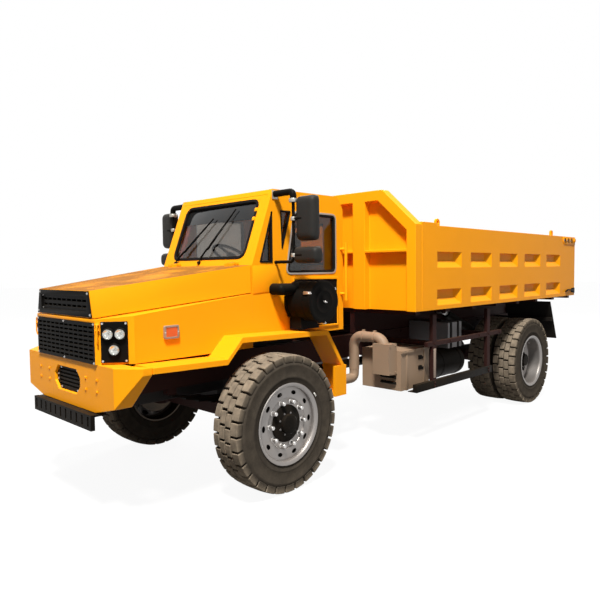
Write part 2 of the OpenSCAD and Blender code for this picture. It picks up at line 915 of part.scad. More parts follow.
// Outline of the bumper from above
module bumper_plan() {
  back = bumper_x - bumper_depth;
  polygon([[bumper_x, bumper_flat], [bumper_x - bumper_sweep, bumper_half],
    [back - bumper_sweep * half, bumper_half],
    [back, bumper_flat], [back, -bumper_flat], [back - bumper_sweep * half, -bumper_half],
    [bumper_x - bumper_sweep, -bumper_half], [bumper_x, -bumper_flat]]);
}

// Eight-sided opening in the bumper
module bumper_hole() {
  corner = (hole_z[1] - hole_z[0]) * bumper_corner_share;
  polygon([[bumper_hole_half, hole_z[0] + corner], [bumper_hole_half, hole_z[1] - corner],
    [bumper_hole_half - corner, hole_z[1]], [corner - bumper_hole_half, hole_z[1]],
    [-bumper_hole_half, hole_z[1] - corner], [-bumper_hole_half, hole_z[0] + corner],
    [corner - bumper_hole_half, hole_z[0]], [bumper_hole_half - corner, hole_z[0]]]);
}

module front_bumper() {
  color(paint) at_axle() difference() {
    intersection() {
      yz(rail_front_x - bumper_depth - bumper_sweep, bumper_x) bumper_face();
      xy(bumper_z, bumper_top_z) bumper_plan();
    }
    yz(bumper_x - grille_t - grille_t, bumper_x + overrun) bumper_hole();
  }
}

// Slots of a grille, in rows and columns between two corners in Y and Z
module slots(y0, y1, z0, z1) {
  columns = floor((y1 - y0) / (slot[0] + grille_bar));
  rows = floor((z1 - z0) / (slot[1] + grille_bar));
  for (i = [0 : columns - 1], k = [0 : rows - 1])
    translate([y0 + (y1 - y0) * (i + half) / columns - slot[0] * half,
      z0 + (z1 - z0) * (k + half) / rows - slot[1] * half])
      square([slot[0], slot[1]]);
}

module bumper_guard() {
  inner = bumper_hole_half - grille_bar;
  color(dark) at_axle() {
    yz(bumper_x - grille_t - grille_t, bumper_x - grille_t) difference() {
      bumper_hole();
      for (z = [hole_z[0] + slot[1] + grille_bar : slot[1] + grille_bar : hole_z[1] - slot[1] -
        grille_bar])
        translate([slot[1] + grille_bar - inner, z]) square([(inner - slot[1] - grille_bar) / half,
          slot[1]]);
    }
    difference() {
      box([front_overhang - guard_t, -guard_half, guard_z], [front_overhang, guard_half, bumper_z]);
      for (i = [0 : guard_slots - 1]) translate([0,
        (i + half - guard_slots * half) * guard_half / guard_slots / half, guard_z])
        box([front_overhang - guard_t - overrun, -guard_slot[0] * half, guard_slot[0]],
          [front_overhang + overrun, guard_slot[0] * half, guard_slot[0] + guard_slot[1]]);
    }
    box([bumper_x - bumper_depth, -guard_half * half, bumper_z - guard_t],
      [front_overhang - guard_t, guard_half * half, bumper_z]);
  }
}

module nose_grille() {
  top = split_front_z - hood_gap - panel_t;
  edge = hood_border * half;
  color(dark) at_axle() yz(nose_x - grille_t, nose_x) difference() {
    translate([-nose_flat, bumper_top_z]) square([nose_flat / half, top - bumper_top_z]);
    slots(edge - nose_flat, nose_flat - edge, bumper_top_z + edge, top - edge);
  }
}

// Outline of the nose from above, one side, with its slanted corner
module nose_plan(inset) {
  polygon([[cab_front_x, 0], [nose_x - inset, 0], [nose_x - inset, nose_flat - inset * half],
    [nose_corner_x - inset * half, nose_half - inset], [cab_front_x, nose_half - inset]]);
}

// The space below the joint of hood and nose
module below_split(drop, low) {
  polygon([[cab_front_x, low], [nose_x, low], [nose_x, split_front_z - drop],
    [cab_front_x, split_rear_z - drop]]);
}

// A fender over a front wheel
module fender() {
  xz(nose_half - panel_t, fender_y) polygon([[fender_front_x, fender_front_z], arch_kink,
    arch_top, arch_flat, arch_bend,
    arch_tip, [arch_tip[0] + fender_t, arch_tip[1]], [arch_bend[0] + fender_t, arch_bend[1]],
    [arch_flat[0] + fender_t * half, arch_flat[1] - fender_t], [arch_top[0], arch_top[1] - fender_t],
    [arch_kink[0], arch_kink[1] - fender_t], [fender_front_x, fender_front_z - fender_t]]);
}

// One side of the nose, with its top ledge and fender
module nose_side() {
  intersection() {
    difference() {
      xy(bumper_top_z, hood_rear_z) nose_plan(0);
      xy(bumper_top_z - overrun, hood_rear_z + overrun) nose_plan(panel_t);
      box([nose_corner_x, 0, bumper_top_z - overrun],
        [nose_x + overrun, nose_flat, hood_rear_z + overrun]);
    }
    xz(0, nose_half) below_split(hood_gap, bumper_top_z);
  }
  intersection() {
    xy(bumper_top_z, hood_rear_z) nose_plan(panel_t * half);
    xz(hood_low_half - panel_t, nose_half) difference() {
      below_split(hood_gap, bumper_top_z);
      below_split(hood_gap + panel_t, bumper_top_z - overrun);
    }
  }
  difference() {
    fender();
    box([arch_tip[0] - overrun, 0, arch_tip[1] - overrun],
      [cab_front_x, cab_half, arch_top[1] + overrun]);
  }
  box([arch_tip[0], fender_y - panel_t, arch_tip[1]], [arch_tip[0] + step_l, fender_y, arch_bend[1]]);
  box([arch_tip[0], cab_half, arch_tip[1]], [arch_tip[0] + step_l, fender_y, arch_tip[1] + panel_t]);
}

module nose_left() {
  color(paint) at_axle() nose_side();
}

module nose_right() {
  color(paint) at_axle() mirror([0, 1, 0]) nose_side();
}

// The child stands on a slanted corner's face, out along X
module on_corner() {
  translate([(nose_x + nose_corner_x) * half, (nose_flat + nose_half) * half, 0])
    rotate([0, 0, chamfer_turn]) children();
}

module lamp_panels() {
  color(dark) at_axle() both() on_corner()
    box([0, -lamp_panel_w * half, bumper_top_z + lamp_border],
      [lamp_panel_t, lamp_panel_w * half, split_front_z - hood_gap - lamp_border]);
}

module head_lamps() {
  low = bumper_top_z + lamp_border;
  rise = split_front_z - hood_gap - lamp_border - low;
  color(clear) at_axle() both() on_corner() {
    for (y = [-lamp_y, lamp_y])
      bar_x(lamp_r, y, low + rise * lamp_shares[1], lamp_panel_t, lamp_panel_t + lamp_h);
    bar_x(lamp_r, 0, low + rise * lamp_shares[0], lamp_panel_t, lamp_panel_t + lamp_h);
  }
}

module side_markers() {
  color(amber) at_axle() both()
    box([marker[0] - marker_size[0] * half, nose_half, marker[1] - marker_size[2] * half],
      [marker[0] + marker_size[0] * half, nose_half + marker_size[1],
        marker[1] + marker_size[2] * half]);
}

module cab_floor() {
  color(dark) at_axle()
    box([cab_rear_x + cab_t, -cab_in, cab_z], [cab_front_x - cab_t, cab_in, cab_z + cab_t]);
}

// The windscreen's band between two depths behind the cab's front face
module screen_band(z0, z1, d0, d1) {
  polygon([[screen_x(z0) - d0, z0], [screen_x(z1) - d0, z1], [screen_x(z1) - d1, z1],
    [screen_x(z0) - d1, z0]]);
}

// A bar on the hood's hinge axis, on both sides, between two places across
module hood_bar(r, y0, y1) {
  both() bar_y(r, hood_hinge_x, hood_hinge_z, y0, y1);
}

module cab_front() {
  color(paint) at_axle() difference() {
    xz(-cab_in, cab_in) polygon([[cab_front_x, cab_z], [cab_front_x, screen_z],
      [screen_x(roof_in_z), roof_in_z],
      [screen_x(roof_in_z) - cab_t, roof_in_z], [cab_front_x - cab_t, screen_z],
        [cab_front_x - cab_t, cab_z]]);
    xz(-screen_half, screen_half) screen_band(screen_foot_z, screen_head_z, -overrun, cab_t + overrun);
  }
  color(paint) at_axle() {
    hood_bar(hood_pin_r, hood_hinge_y - hood_lug_w, hood_hinge_y + hood_knuckle_w + hood_lug_w);
    for (y = [hood_hinge_y - hood_lug_w, hood_hinge_y + hood_knuckle_w + hood_gap])
      both() box([cab_front_x - overrun, y, hood_hinge_z - hood_pin_r],
        [hood_hinge_x + hood_pin_r, y + hood_lug_w - hood_gap, hood_hinge_z + hood_pin_r]);
  }
}

// Outline of a cab side
module side_outline() {
  polygon([[cab_front_x, cab_z], [cab_front_x, screen_z], [screen_top_x, roof_z],
    [cab_rear_x + roof_bevel, roof_z],
    [cab_rear_x, roof_rear_z], [cab_rear_x, cab_z]]);
}

// Outline of the quarter window
module vent_outline() {
  polygon([[vent_foot_x, vent_z], [vent_x, vent_top_z], [vent_x, vent_z]]);
}

// Outline of the left side window, with the light before it
module window_outline() {
  polygon([[window_front_x, window_z], [window_front_x - window_lean, window_top_z],
    [window_rear_x, window_top_z],
    [window_rear_x, window_z]]);
  polygon([[light_front_x, window_top_z], [window_front_x - window_lean * half, window_top_z],
    [light_foot_x, light_foot_z]]);
}

module cab_left() {
  color(paint) at_axle() {
    difference() {
      xz(cab_in, cab_half) side_outline();
      xz(cab_in - overrun, cab_half + overrun) vent_outline();
      xz(cab_in - overrun, cab_half + overrun) window_outline();
    }
    bar_z(rail_grab_r, rail_grab_x, cab_half + rail_grab_out, grab_z[0], grab_z[1]);
    for (z = [grab_z[0] + rail_grab_out, grab_z[1] - rail_grab_out])
      bar_y(rail_grab_r, rail_grab_x, z, cab_half - cab_t * half, cab_half + rail_grab_out);
  }
}

// A pin of the door's hinges, held by two lugs on the cab
module hinge_pin(z) {
  low = z - fork_gap - hinge_lug_h;
  high = z + hinge_l + fork_gap;
  bar_z(hinge_pin_r, door_hinge_x, door_hinge_y, low, high + hinge_lug_h);
  for (foot = [low, high]) {
    bar_z(hinge_r, door_hinge_x, door_hinge_y, foot, foot + hinge_lug_h);
    box([door_hinge_x, door_hinge_y - hinge_r, foot],
      [door_front_x + hinge_l, door_hinge_y + hinge_r, foot + hinge_lug_h]);
    box([door_front_x + door_gap, door_hinge_y, foot],
      [door_front_x + hinge_l, -cab_half, foot + hinge_lug_h]);
  }
}

module cab_right() {
  color(paint) at_axle() {
    difference() {
      xz(-cab_half, -cab_in) side_outline();
      xz(-cab_half - overrun, overrun - cab_in) vent_outline();
      box([door_rear_x, -cab_half - overrun, door_z], [door_front_x, overrun - cab_in, door_top_z]);
    }
    for (z = hinge_feet()) hinge_pin(z);
  }
}

module cab_back() {
  color(paint) at_axle() difference() {
    box([cab_rear_x, -cab_in, cab_z], [cab_rear_x + cab_t, cab_in, roof_rear_z]);
    box([cab_rear_x - overrun, -back_window_half, screen_z],
      [cab_rear_x + cab_t + overrun, back_window_half, back_window_top_z]);
  }
}

module cab_roof() {
  color(paint) at_axle() xz(-cab_in, cab_in) polygon([[screen_x(roof_in_z), roof_in_z],
    [screen_top_x, roof_z],
    [cab_rear_x + roof_bevel, roof_z], [cab_rear_x, roof_rear_z], [cab_rear_x + cab_t, roof_rear_z],
    [cab_rear_x + roof_bevel + cab_t * half, roof_in_z]]);
}

module cab_glass() {
  mid = (cab_t - glass_t) * half;
  color(pane) at_axle() {
    xz(-screen_half, screen_half) screen_band(screen_foot_z, screen_head_z, mid, mid + glass_t);
    both() xz(cab_in + mid, cab_in + mid + glass_t) vent_outline();
    xz(cab_in + mid, cab_in + mid + glass_t) window_outline();
    box([cab_rear_x + mid, -back_window_half, screen_z],
      [cab_rear_x + mid + glass_t, back_window_half, back_window_top_z]);
  }
}

// The child stands on the steering column's axis, at the wheel's hub
module on_column() {
  translate([column_x, 0, column_z]) rotate([0, -column_lean, 0]) children();
}

module dashboard() {
  color(dark) at_axle() {
    box([cab_front_x - cab_t - dash_depth, -cab_in, dash_z], [cab_front_x - cab_t, cab_in, dash_top_z]);
    on_column() translate([0, 0, -dash_depth]) cylinder(r = column_r,
      h = dash_depth - wheel_ring_t - hood_gap);
    on_column() translate([0, 0, -dash_depth]) cylinder(r = column_r * half,
      h = dash_depth + wheel_ring_t * half);
  }
}

module seat() {
  color(cloth) at_axle() {
    box([seat_rear_x, -seat_half, seat_z], [seat_front_x, seat_half, seat_z + seat_h]);
    box([seat_rear_x, -seat_half, seat_z + seat_h],
      [seat_rear_x + seat_back_t, seat_half, seat_back_z]);
    box([seat_rear_x + seat_back_t, -seat_foot_half, cab_z + cab_t],
      [seat_front_x - seat_back_t, seat_foot_half, seat_z]);
  }
}

module wipers() {
  color(dark) at_axle() for (y = wiper_y)
    translate([screen_x(screen_foot_z - wiper_w), y, screen_foot_z - wiper_w]) rotate([0, lean_deg,
      0]) rotate([wiper_turn, 0, 0])
      box([0, -wiper_w * half, -wiper_w * half], [wiper_w, wiper_w * half, wiper_l]);
}

// A mirror's head with rounded corners, between two heights
module mirror_head(z0, z1) {
  y0 = mirror_y - mirror_w * half;
  y1 = mirror_y + mirror_w * half;
  yz(mirror_x - mirror_t * half, mirror_x + mirror_t * half) union() {
    for (y = [y0 + mirror_round, y1 - mirror_round], z = [z0 + mirror_round, z1 - mirror_round])
      translate([y, z]) circle(mirror_round);
    translate([y0 + mirror_round, z0]) square([mirror_w - mirror_round / half, z1 - z0]);
    translate([y0, z0 + mirror_round]) square([mirror_w, z1 - z0 - mirror_round / half]);
  }
}

// Mirrors of one side on their tube, held at the cab's upper corner and at the belt
module mirror_set() {
  tube_y = mirror_y - mirror_w * half - mirror_tube_r;
  mirror_head(mirror_main[0], mirror_main[1]);
  mirror_head(mirror_low[0], mirror_low[1]);
  bar_z(mirror_tube_r, mirror_arm_x, tube_y, mirror_low[0], mirror_arm_z);
  translate([mirror_arm_x, tube_y, mirror_arm_z]) sphere(mirror_tube_r);
  bar_y(mirror_tube_r, mirror_arm_x, mirror_arm_z, cab_half, tube_y);
  bar_y(mirror_tube_r, mirror_arm_x, mirror_low[0] + mirror_tube_r, cab_half, tube_y);
  for (z = [(mirror_main[0] + mirror_main[1]) * half, (mirror_low[0] + mirror_low[1]) * half])
    bar_y(mirror_tube_r, mirror_arm_x, z, tube_y, mirror_y);
}

module mirrors() {
  color(dark) at_axle() both() mirror_set();
}

module air_cleaner() {
  color(dark) at_axle() {
    bar_y(cleaner_r - cleaner_rim, drum[0], drum[1], cleaner_y[0], cleaner_y[1] - cleaner_cap);
    bar_y(cleaner_r, drum[0], drum[1], cleaner_y[1] - cleaner_cap, cleaner_y[1]);
    bar_y(cleaner_r, drum[0], drum[1], cleaner_y[0], cleaner_y[0] + cleaner_cap);
    box([drum[0] - cleaner_foot_half, cleaner_y[0], arch_top[1]],
      [drum[0] + cleaner_foot_half, cleaner_y[0] + cleaner_foot_w, drum[1]]);
    box([drum[0] - cleaner_foot_half, cab_half, drum[1] - cleaner_foot_w],
      [drum[0] + cleaner_foot_half, cleaner_y[0], drum[1]]);
    bar_x(intake_r, cleaner_y[0] + cleaner_foot_w * half, intake[1], drum[0], intake[0]);
    translate([intake[0], cleaner_y[0] + cleaner_foot_w * half, intake[1]]) sphere(intake_r);
    bar_y(intake_r, intake[0], intake[1], cab_half, cleaner_y[0] + cleaner_foot_w * half);
  }
}

// A quarter bend of the exhaust pipe, from upright to level along Y
module pipe_bend() {
  rotate([quarter, 0, quarter]) rotate_extrude(angle = quarter) translate([pipe_bend,
    0]) circle(pipe_r);
}

module exhaust_box() {
  bend_z = duct_high[2] - pipe_r;
  out_y = (duct_low[1] + duct_high[1]) * half;
  color(taupe) at_axle() {
    box(box_low, box_high);
    box([box_low[0] - panel_t * half, box_low[1], box_high[2] - panel_t],
      [box_high[0], box_high[1] + panel_t * half, box_high[2]]);
    box(duct_low, duct_high);
    box([box_low[0], rail_y, box_high[2] - bracket_h], [box_low[0] + bracket_h, box_low[1],
      box_high[2]]);
    bar_z(pipe_r, pipe_x, pipe_y, pipe_z, bend_z);
    translate([pipe_x, pipe_y + pipe_bend, bend_z]) mirror([0, 1, 0]) pipe_bend();
    bar_y(pipe_r, pipe_x, bend_z + pipe_bend, pipe_y + pipe_bend, out_y - pipe_bend);
    translate([pipe_x, out_y - pipe_bend, bend_z]) pipe_bend();
  }
}

module guard_side() {
  for (x = guard_posts) {
    box([x - guard_post_w * half, guard_y, guard_post_ends[0]],
      [x + guard_post_w * half, guard_y + guard_w, guard_post_ends[1]]);
    box([x - guard_post_w * half, rail_y, guard_up_z],
      [x + guard_post_w * half, guard_y, guard_up_z + guard_up_h]);
  }
  box([guard_up_x[0], guard_y, guard_up_z], [guard_up_x[1],
    guard_y + guard_w, guard_up_z + guard_up_h]);
  box([guard_low_x[0], guard_y, guard_post_ends[0]], [guard_low_x[1],
    guard_y + guard_w, guard_post_ends[0] + guard_low_h]);
}

module side_guards() {
  color(maroon) at_axle() both() guard_side();
}

module tanks() {
  color(steel) at_axle() {
    box([oil_low[0], rail_y, oil_low[1]], oil_high);
    mirror([0, 1, 0]) box([fuel_low[0], rail_y, fuel_low[1]], [fuel_high[0], fuel_high[1],
      guard_up_z - run_gap]);
  }
}

module air_tank() {
  color(dark) at_axle() {
    bar_x(air_r, air_mid[0], air_mid[1], air_x[0], air_x[1]);
    for (x = [air_x[0] + bracket_h * half, air_x[1] - air_r])
      box([x - bracket_h * half, rail_y, rail_z], [x + bracket_h * half, air_mid[0],
        rail_z + bracket_h]);
  }
}

module mud_flaps() {
  color(dark) at_axle() both() {
    xz(flap_y[0], flap_y[1]) polygon([[flap_x, flap_z_ends[1]], [flap_x - flap_t, flap_z_ends[1]],
      [flap_x - flap_slant - flap_t, flap_z_ends[0]], [flap_x - flap_slant, flap_z_ends[0]]]);
    box([flap_x - flap_slant * half, rail_y, rail_top_z - flap_bar_h],
      [flap_x - flap_slant * half + flap_bar_h, flap_y[1], rail_top_z]);
  }
}

module tail_lamps() {
  color(amber) at_axle() both()
    box([rail_rear_x - tail_bar_w - tail_lamp[0],
      tail_lamp_y, rail_z + (tail_bar_h - tail_lamp[2]) * half],
      [rail_rear_x - tail_bar_w, tail_lamp_y + tail_lamp[1],
        rail_z + (tail_bar_h + tail_lamp[2]) * half]);
}

// Section of the hood at its front or rear, inset by the wall
module hood_section(top_half, low_half, top_z, low_z, inset) {
  polygon([[low_half - inset, low_z], [top_half - inset, top_z - inset],
    [inset - top_half, top_z - inset], [inset - low_half, low_z]]);
}

// The hood's body between two stations, inset by the wall
module hood_body(x0, x1, inset, drop) {
  hull() {
    yz(x1 - panel_t * half, x1)
      hood_section(hood_top_half, hood_low_half, hood_front_z, split_z(x1) - drop, inset);
    yz(x0, x0 + panel_t * half)
      hood_section(hood_rear_half, hood_rear_half, hood_rear_z, split_z(x0) - drop, inset);
  }
}

module hood() {
  grille_half = hood_top_half - hood_border;
  color(paint) at_axle() difference() {
    hood_body(hood_back_x, nose_x, 0, 0);
    hood_body(hood_back_x - overrun, nose_x - panel_t - grille_t, panel_t, overrun);
    box([nose_x - panel_t - grille_t - overrun, -grille_half, split_front_z + hood_border],
      [nose_x + overrun, grille_half, hood_front_z - hood_border]);
  }
  color(paint) at_axle() difference() {
    union() {
      hood_bar(hood_knuckle_r, hood_hinge_y, hood_hinge_y + hood_knuckle_w);
      both() box([hood_hinge_x, hood_hinge_y, hood_rear_z - panel_t * half],
        [hood_hinge_x + hood_knuckle_w, hood_hinge_y + hood_knuckle_w, hood_hinge_z]);
    }
    hood_bar(hood_pin_r + run_gap, hood_hinge_y - hood_lug_w,
      hood_hinge_y + hood_knuckle_w + hood_lug_w);
  }
}

module hood_grille() {
  grille_half = hood_top_half - hood_border;
  edge = hood_border * half;
  low = split_front_z + hood_border;
  top = hood_front_z - hood_border;
  color(dark) at_axle() yz(nose_x - grille_t - hood_gap, nose_x - hood_gap) difference() {
    translate([-grille_half, low]) square([grille_half / half, top - low]);
    slots(edge - grille_half, grille_half - edge, low + edge, top - edge);
  }
}

// Outline of the door's glass
module door_pane() {
  translate([door_rear_x + door_gap + door_pane_border, window_z])
    square([door_front_x - door_rear_x - (door_gap + door_pane_border) / half,
      door_top_z - door_gap - door_pane_border - window_z]);
}

// Feet of the door's two hinges
function hinge_feet() = [door_z + hinge_l, window_z - hinge_l - hinge_l];

module door() {
  color(paint) at_axle() {
    difference() {
      box([door_rear_x + door_gap, -cab_half, door_z + door_gap],
        [door_hinge_x, -cab_in, door_top_z - door_gap]);
      xz(-cab_half - overrun, overrun - cab_in) door_pane();
    }
    for (z = hinge_feet()) difference() {
      union() {
        bar_z(hinge_r, door_hinge_x, door_hinge_y, z, z + hinge_l);
        box([door_hinge_x - hinge_l, door_hinge_y, z], [door_hinge_x, -cab_half, z + hinge_l]);
      }
      bar_z(hinge_pin_r + run_gap, door_hinge_x, door_hinge_y, z - overrun, z + hinge_l + overrun);
    }
  }
}

module door_glass() {
  mid = (cab_t - glass_t) * half;
  color(pane) at_axle() xz(-cab_half + mid, -cab_half + mid + glass_t) door_pane();
}

module steering_wheel() {
  color(dark) at_axle() on_column() {
    rotate_extrude() translate([wheel_ring_r - wheel_ring_t, 0]) circle(wheel_ring_t);
    difference() {
      union() {
        translate([0, 0, -wheel_ring_t]) cylinder(r = column_r + column_r, h = wheel_ring_t / half);
        for (i = [0 : wheel_spokes - 1]) rotate([0, 0, i * full_turn / wheel_spokes])
          box([0, -wheel_ring_t, -wheel_ring_t * half],
            [wheel_ring_r - wheel_ring_t, wheel_ring_t, wheel_ring_t * half]);
      }
      translate([0, 0, -wheel_ring_t - overrun])
        cylinder(r = column_r * half + run_gap,
          h = wheel_ring_t + wheel_ring_t * half + overrun + hood_gap * half);
    }
  }
}

// A left knuckle: ears about the axle's eye, spindle and steering arm
module knuckle() {
  wy = kingpin_y + web_y;
  for (z = [ear_low_z, ear_top_z - ear_t]) {
    bar_z(eye_r, 0, kingpin_y, z, z + ear_t);
    box([-eye_r, kingpin_y, z], [eye_r, wy + web_t, z + ear_t]);
  }
  box([-web_w * half, wy, ear_low_z], [web_w * half, wy + web_t, ear_top_z]);
  bar_z(kingpin_r, 0, kingpin_y, ear_low_z, ear_top_z);
  bar_y(spindle_r, 0, axle_z, wy, front_wheel_y + disc_out);
  box([-arm_back, kingpin_y - arm_w * half, ear_low_z], [0, kingpin_y + arm_w * half, stud_z]);
  bar_z(arm_w * half, -arm_back, kingpin_y, ear_low_z, stud_z);
  bar_z(stud_r, -arm_back, kingpin_y, ear_low_z, tie_z + tie_eye_h * half + ear_gap);
}

module knuckle_left() {
  color(maroon) at_axle() knuckle();
}

module knuckle_right() {
  color(maroon) at_axle() mirror([0, 1, 0]) knuckle();
}

module tie_rod() {
  color(dark) at_axle() difference() {
    union() {
      bar_y(tie_r, -arm_back, tie_z, -kingpin_y, kingpin_y);
      both() bar_z(tie_eye_r, -arm_back, kingpin_y, tie_z - tie_eye_h * half, tie_z + tie_eye_h * half);
    }
    both() bar_z(stud_r + run_gap, -arm_back, kingpin_y, tie_z - tie_eye_h, tie_z + tie_eye_h);
  }
}

// A ring of tread blocks between two depths of the tyre, turned by a share of a block's pitch
module lug_ring(y0, y1, r, turn_share) {
  reach = lug_turn * lug_share * half;
  slope = lug_turn * (1 - lug_share) * half * half;
  xz(y0, y1) difference() {
    polygon([for (i = [0 : lugs - 1], k = [[foot_r, -reach - slope], [r, -reach], [r, reach],
      [foot_r, reach + slope]])
      let (a = (i + turn_share) * lug_turn + k[1] - quarter) [k[0] * cos(a), k[0] * sin(a)]]);
    circle(foot_r - lug_h);
  }
}

// A tyre about the Y axis, its middle at zero
module tyre() {
  w = tyre_w * half;
  row = tyre_w * lug_row_share;
  rotate([quarter, 0, 0]) rotate_extrude($fn = 96) polygon([[rim_r, tyre_shoulder * half - w],
    [rim_r + tyre_shoulder, -w], [foot_r - tyre_shoulder, -w], [foot_r, tyre_shoulder - w],
    [foot_r, w - tyre_shoulder], [foot_r - tyre_shoulder, w], [rim_r + tyre_shoulder, w],
    [rim_r, w - tyre_shoulder * half]]);
  flat_r = tyre_r / cos(lug_turn * lug_share * half);
  lug_ring(tyre_shoulder * half - w, tyre_shoulder * half - w + row, flat_r, 0);
  lug_ring(w - tyre_shoulder * half - row, w - tyre_shoulder * half, flat_r, 0);
  lug_ring(tyre_shoulder * half - w + row, w - tyre_shoulder * half - row, tyre_r, half);
}

// A rim about the Y axis; the disc's flat lies at d, dished by rise, and its boss reaches on
module rim(d, rise, reach) {
  w = (tyre_w - tyre_shoulder) * half;
  in_r = rim_r - rim_t;
  hole_r = (disc_bolt_r + in_r) * half;
  difference() {
    union() {
      rotate([-quarter, 0, 0]) rotate_extrude($fn = 96) polygon([[0, d - disc_t],
        [disc_bolt_r, d - disc_t],
        [in_r, d - rise - disc_t], [in_r, -w], [rim_r, -w], [rim_r, w], [in_r, w], [in_r, d - rise],
        [disc_bolt_r, d], [0, d]]);
      bar_y(disc_bolt_r - disc_t, 0, 0, d - disc_t, reach);
    }
    for (i = [0 : hand_holes - 1]) rotate([0, i * full_turn / hand_holes, 0]) {
      for (z = [-hand_hole_l, hand_hole_l]) bar_y(hand_hole_r, hole_r, z, d - rise - tyre_w,
        d + overrun);
      box([hole_r - hand_hole_r, d - rise - tyre_w, -hand_hole_l],
        [hole_r + hand_hole_r, d + overrun, hand_hole_l]);
    }
  }
}

// Hub and brake drum about the Y axis, from y0 to the disc at d
module hub(y0, drum_w, d) {
  bar_y(hub_r, 0, 0, y0, d + disc_t);
  bar_y(drum_r, 0, 0, y0, y0 + drum_w);
  bar_y(hub_cap_r, 0, 0, d, d + hub_cap_h);
}

module front_wheel() {
  translate([0, front_wheel_y, axle_z]) difference() {
    union() {
      rim(disc_out, dish, disc_out);
      hub(kingpin_y + web_y + web_t + fork_gap - front_wheel_y, front_drum_w, disc_out);
    }
    bar_y(spindle_r + run_gap, 0, 0, kingpin_y - front_wheel_y, disc_out + fork_gap);
  }
}

module rear_wheels() {
  translate([rear_axle_x, twin_mid_y, axle_z]) difference() {
    union() {
      translate([0, -twin_spacing * half, 0]) rim(twin_disc, dish, twin_spacing * half);
      translate([0, twin_spacing * half, 0]) mirror([0, 1, 0]) rim(twin_disc, dish,
        twin_spacing * half);
      hub(axle_tube_y + fork_gap - twin_mid_y, rear_drum_w, twin_spacing * half);
    }
    bar_y(spindle_r + run_gap, 0, 0, -twin_mid_y, twin_spacing * half + fork_gap);
  }
}

module tyre_front_left() {
  color(rubber) at_axle() translate([0, front_wheel_y, axle_z]) tyre();
}

module tyre_front_right() {
  color(rubber) at_axle() translate([0, -front_wheel_y, axle_z]) tyre();
}

module tyres_rear_left() {
  color(rubber) at_axle() for (y = [inner_wheel_y, outer_wheel_y]) translate([rear_axle_x, y,
    axle_z]) tyre();
}

module tyres_rear_right() {
  color(rubber) at_axle() for (y = [inner_wheel_y, outer_wheel_y]) translate([rear_axle_x, -y,
    axle_z]) tyre();
}

module wheel_front_left() {
  color(steel) at_axle() front_wheel();
}

module wheel_front_right() {
  color(steel) at_axle() mirror([0, 1, 0]) front_wheel();
}

module wheels_rear_left() {
  color(steel) at_axle() rear_wheels();
}

module wheels_rear_right() {
  color(steel) at_axle() mirror([0, 1, 0]) rear_wheels();
}

// Beam under the bed with its hinge lug
module bed_beam() {
  xz(beam_y - beam_w * half, beam_y + beam_w * half) difference() {
    union() {
      translate([pivot_x, pivot_z]) circle(lug_r);
      polygon([[pivot_x - lug_r, bearer_z], [pivot_x - lug_r, pivot_z], [pivot_x, beam_z],
        [wall_front_x, beam_z], [wall_front_x, bearer_z]]);
    }
    translate([pivot_x, pivot_z]) circle(pivot_r + run_gap);
  }
}

// Ears that take a hoist rod's eye
module hoist_ears() {
  for (y = [hoist_y - hoist_eye_w * half - fork_gap - ear_side_t,
    hoist_y + hoist_eye_w * half + fork_gap])
    xz(y, y + ear_side_t) difference() {
      union() {
        translate([hoist_eye_x, hoist_eye_z]) circle(hoist_eye_r);
        translate([hoist_eye_x - hoist_eye_r, hoist_eye_z]) square([hoist_eye_r / half,
          bed_z - hoist_eye_z]);
      }
      translate([hoist_eye_x, hoist_eye_z]) circle(hoist_pin_r);
    }
}

module bed_floor() {
  step = (wall_front_x - bed_rear_x - bearer[0]) / (bearers - 1);
  color(maroon) at_axle() {
    box([bed_rear_x, -wall_in, bed_z], [wall_front_x, wall_in, floor_top_z]);
    both() {
      bed_beam();
      hoist_ears();
    }
    for (i = [0 : bearers - 1])
      box([bed_rear_x + i * step, -wall_in, bearer_z], [bed_rear_x + i * step + bearer[0],
        wall_in, bed_z]);
  }
}

module headboard() {
  color(paint) at_axle() difference() {
    yz(wall_front_x, bed_front_x) polygon([[bed_half, bed_z], [bed_half, bed_top_z],
      [head_flat, head_top_z],
      [-head_flat, head_top_z], [-bed_half, bed_top_z], [-bed_half, bed_z]]);
    yz(bed_front_x - head_recess, bed_front_x + overrun) difference() {
      polygon([[bed_half - head_border, bed_z - overrun],
        [bed_half - head_border, bed_top_z - head_border * half],
        [head_flat - head_border * half, head_top_z - head_border],
          [head_border * half - head_flat, head_top_z - head_border],
        [head_border - bed_half, bed_top_z - head_border * half],
          [head_border - bed_half, bed_z - overrun]]);
      for (y = [head_rib_y, -head_rib_y - head_rib_w]) translate([y, bed_z]) square([head_rib_w,
        head_top_z - bed_z]);
      translate([-bed_half, head_bar_z]) square([bed_half / half, head_bar_h]);
    }
  }
}

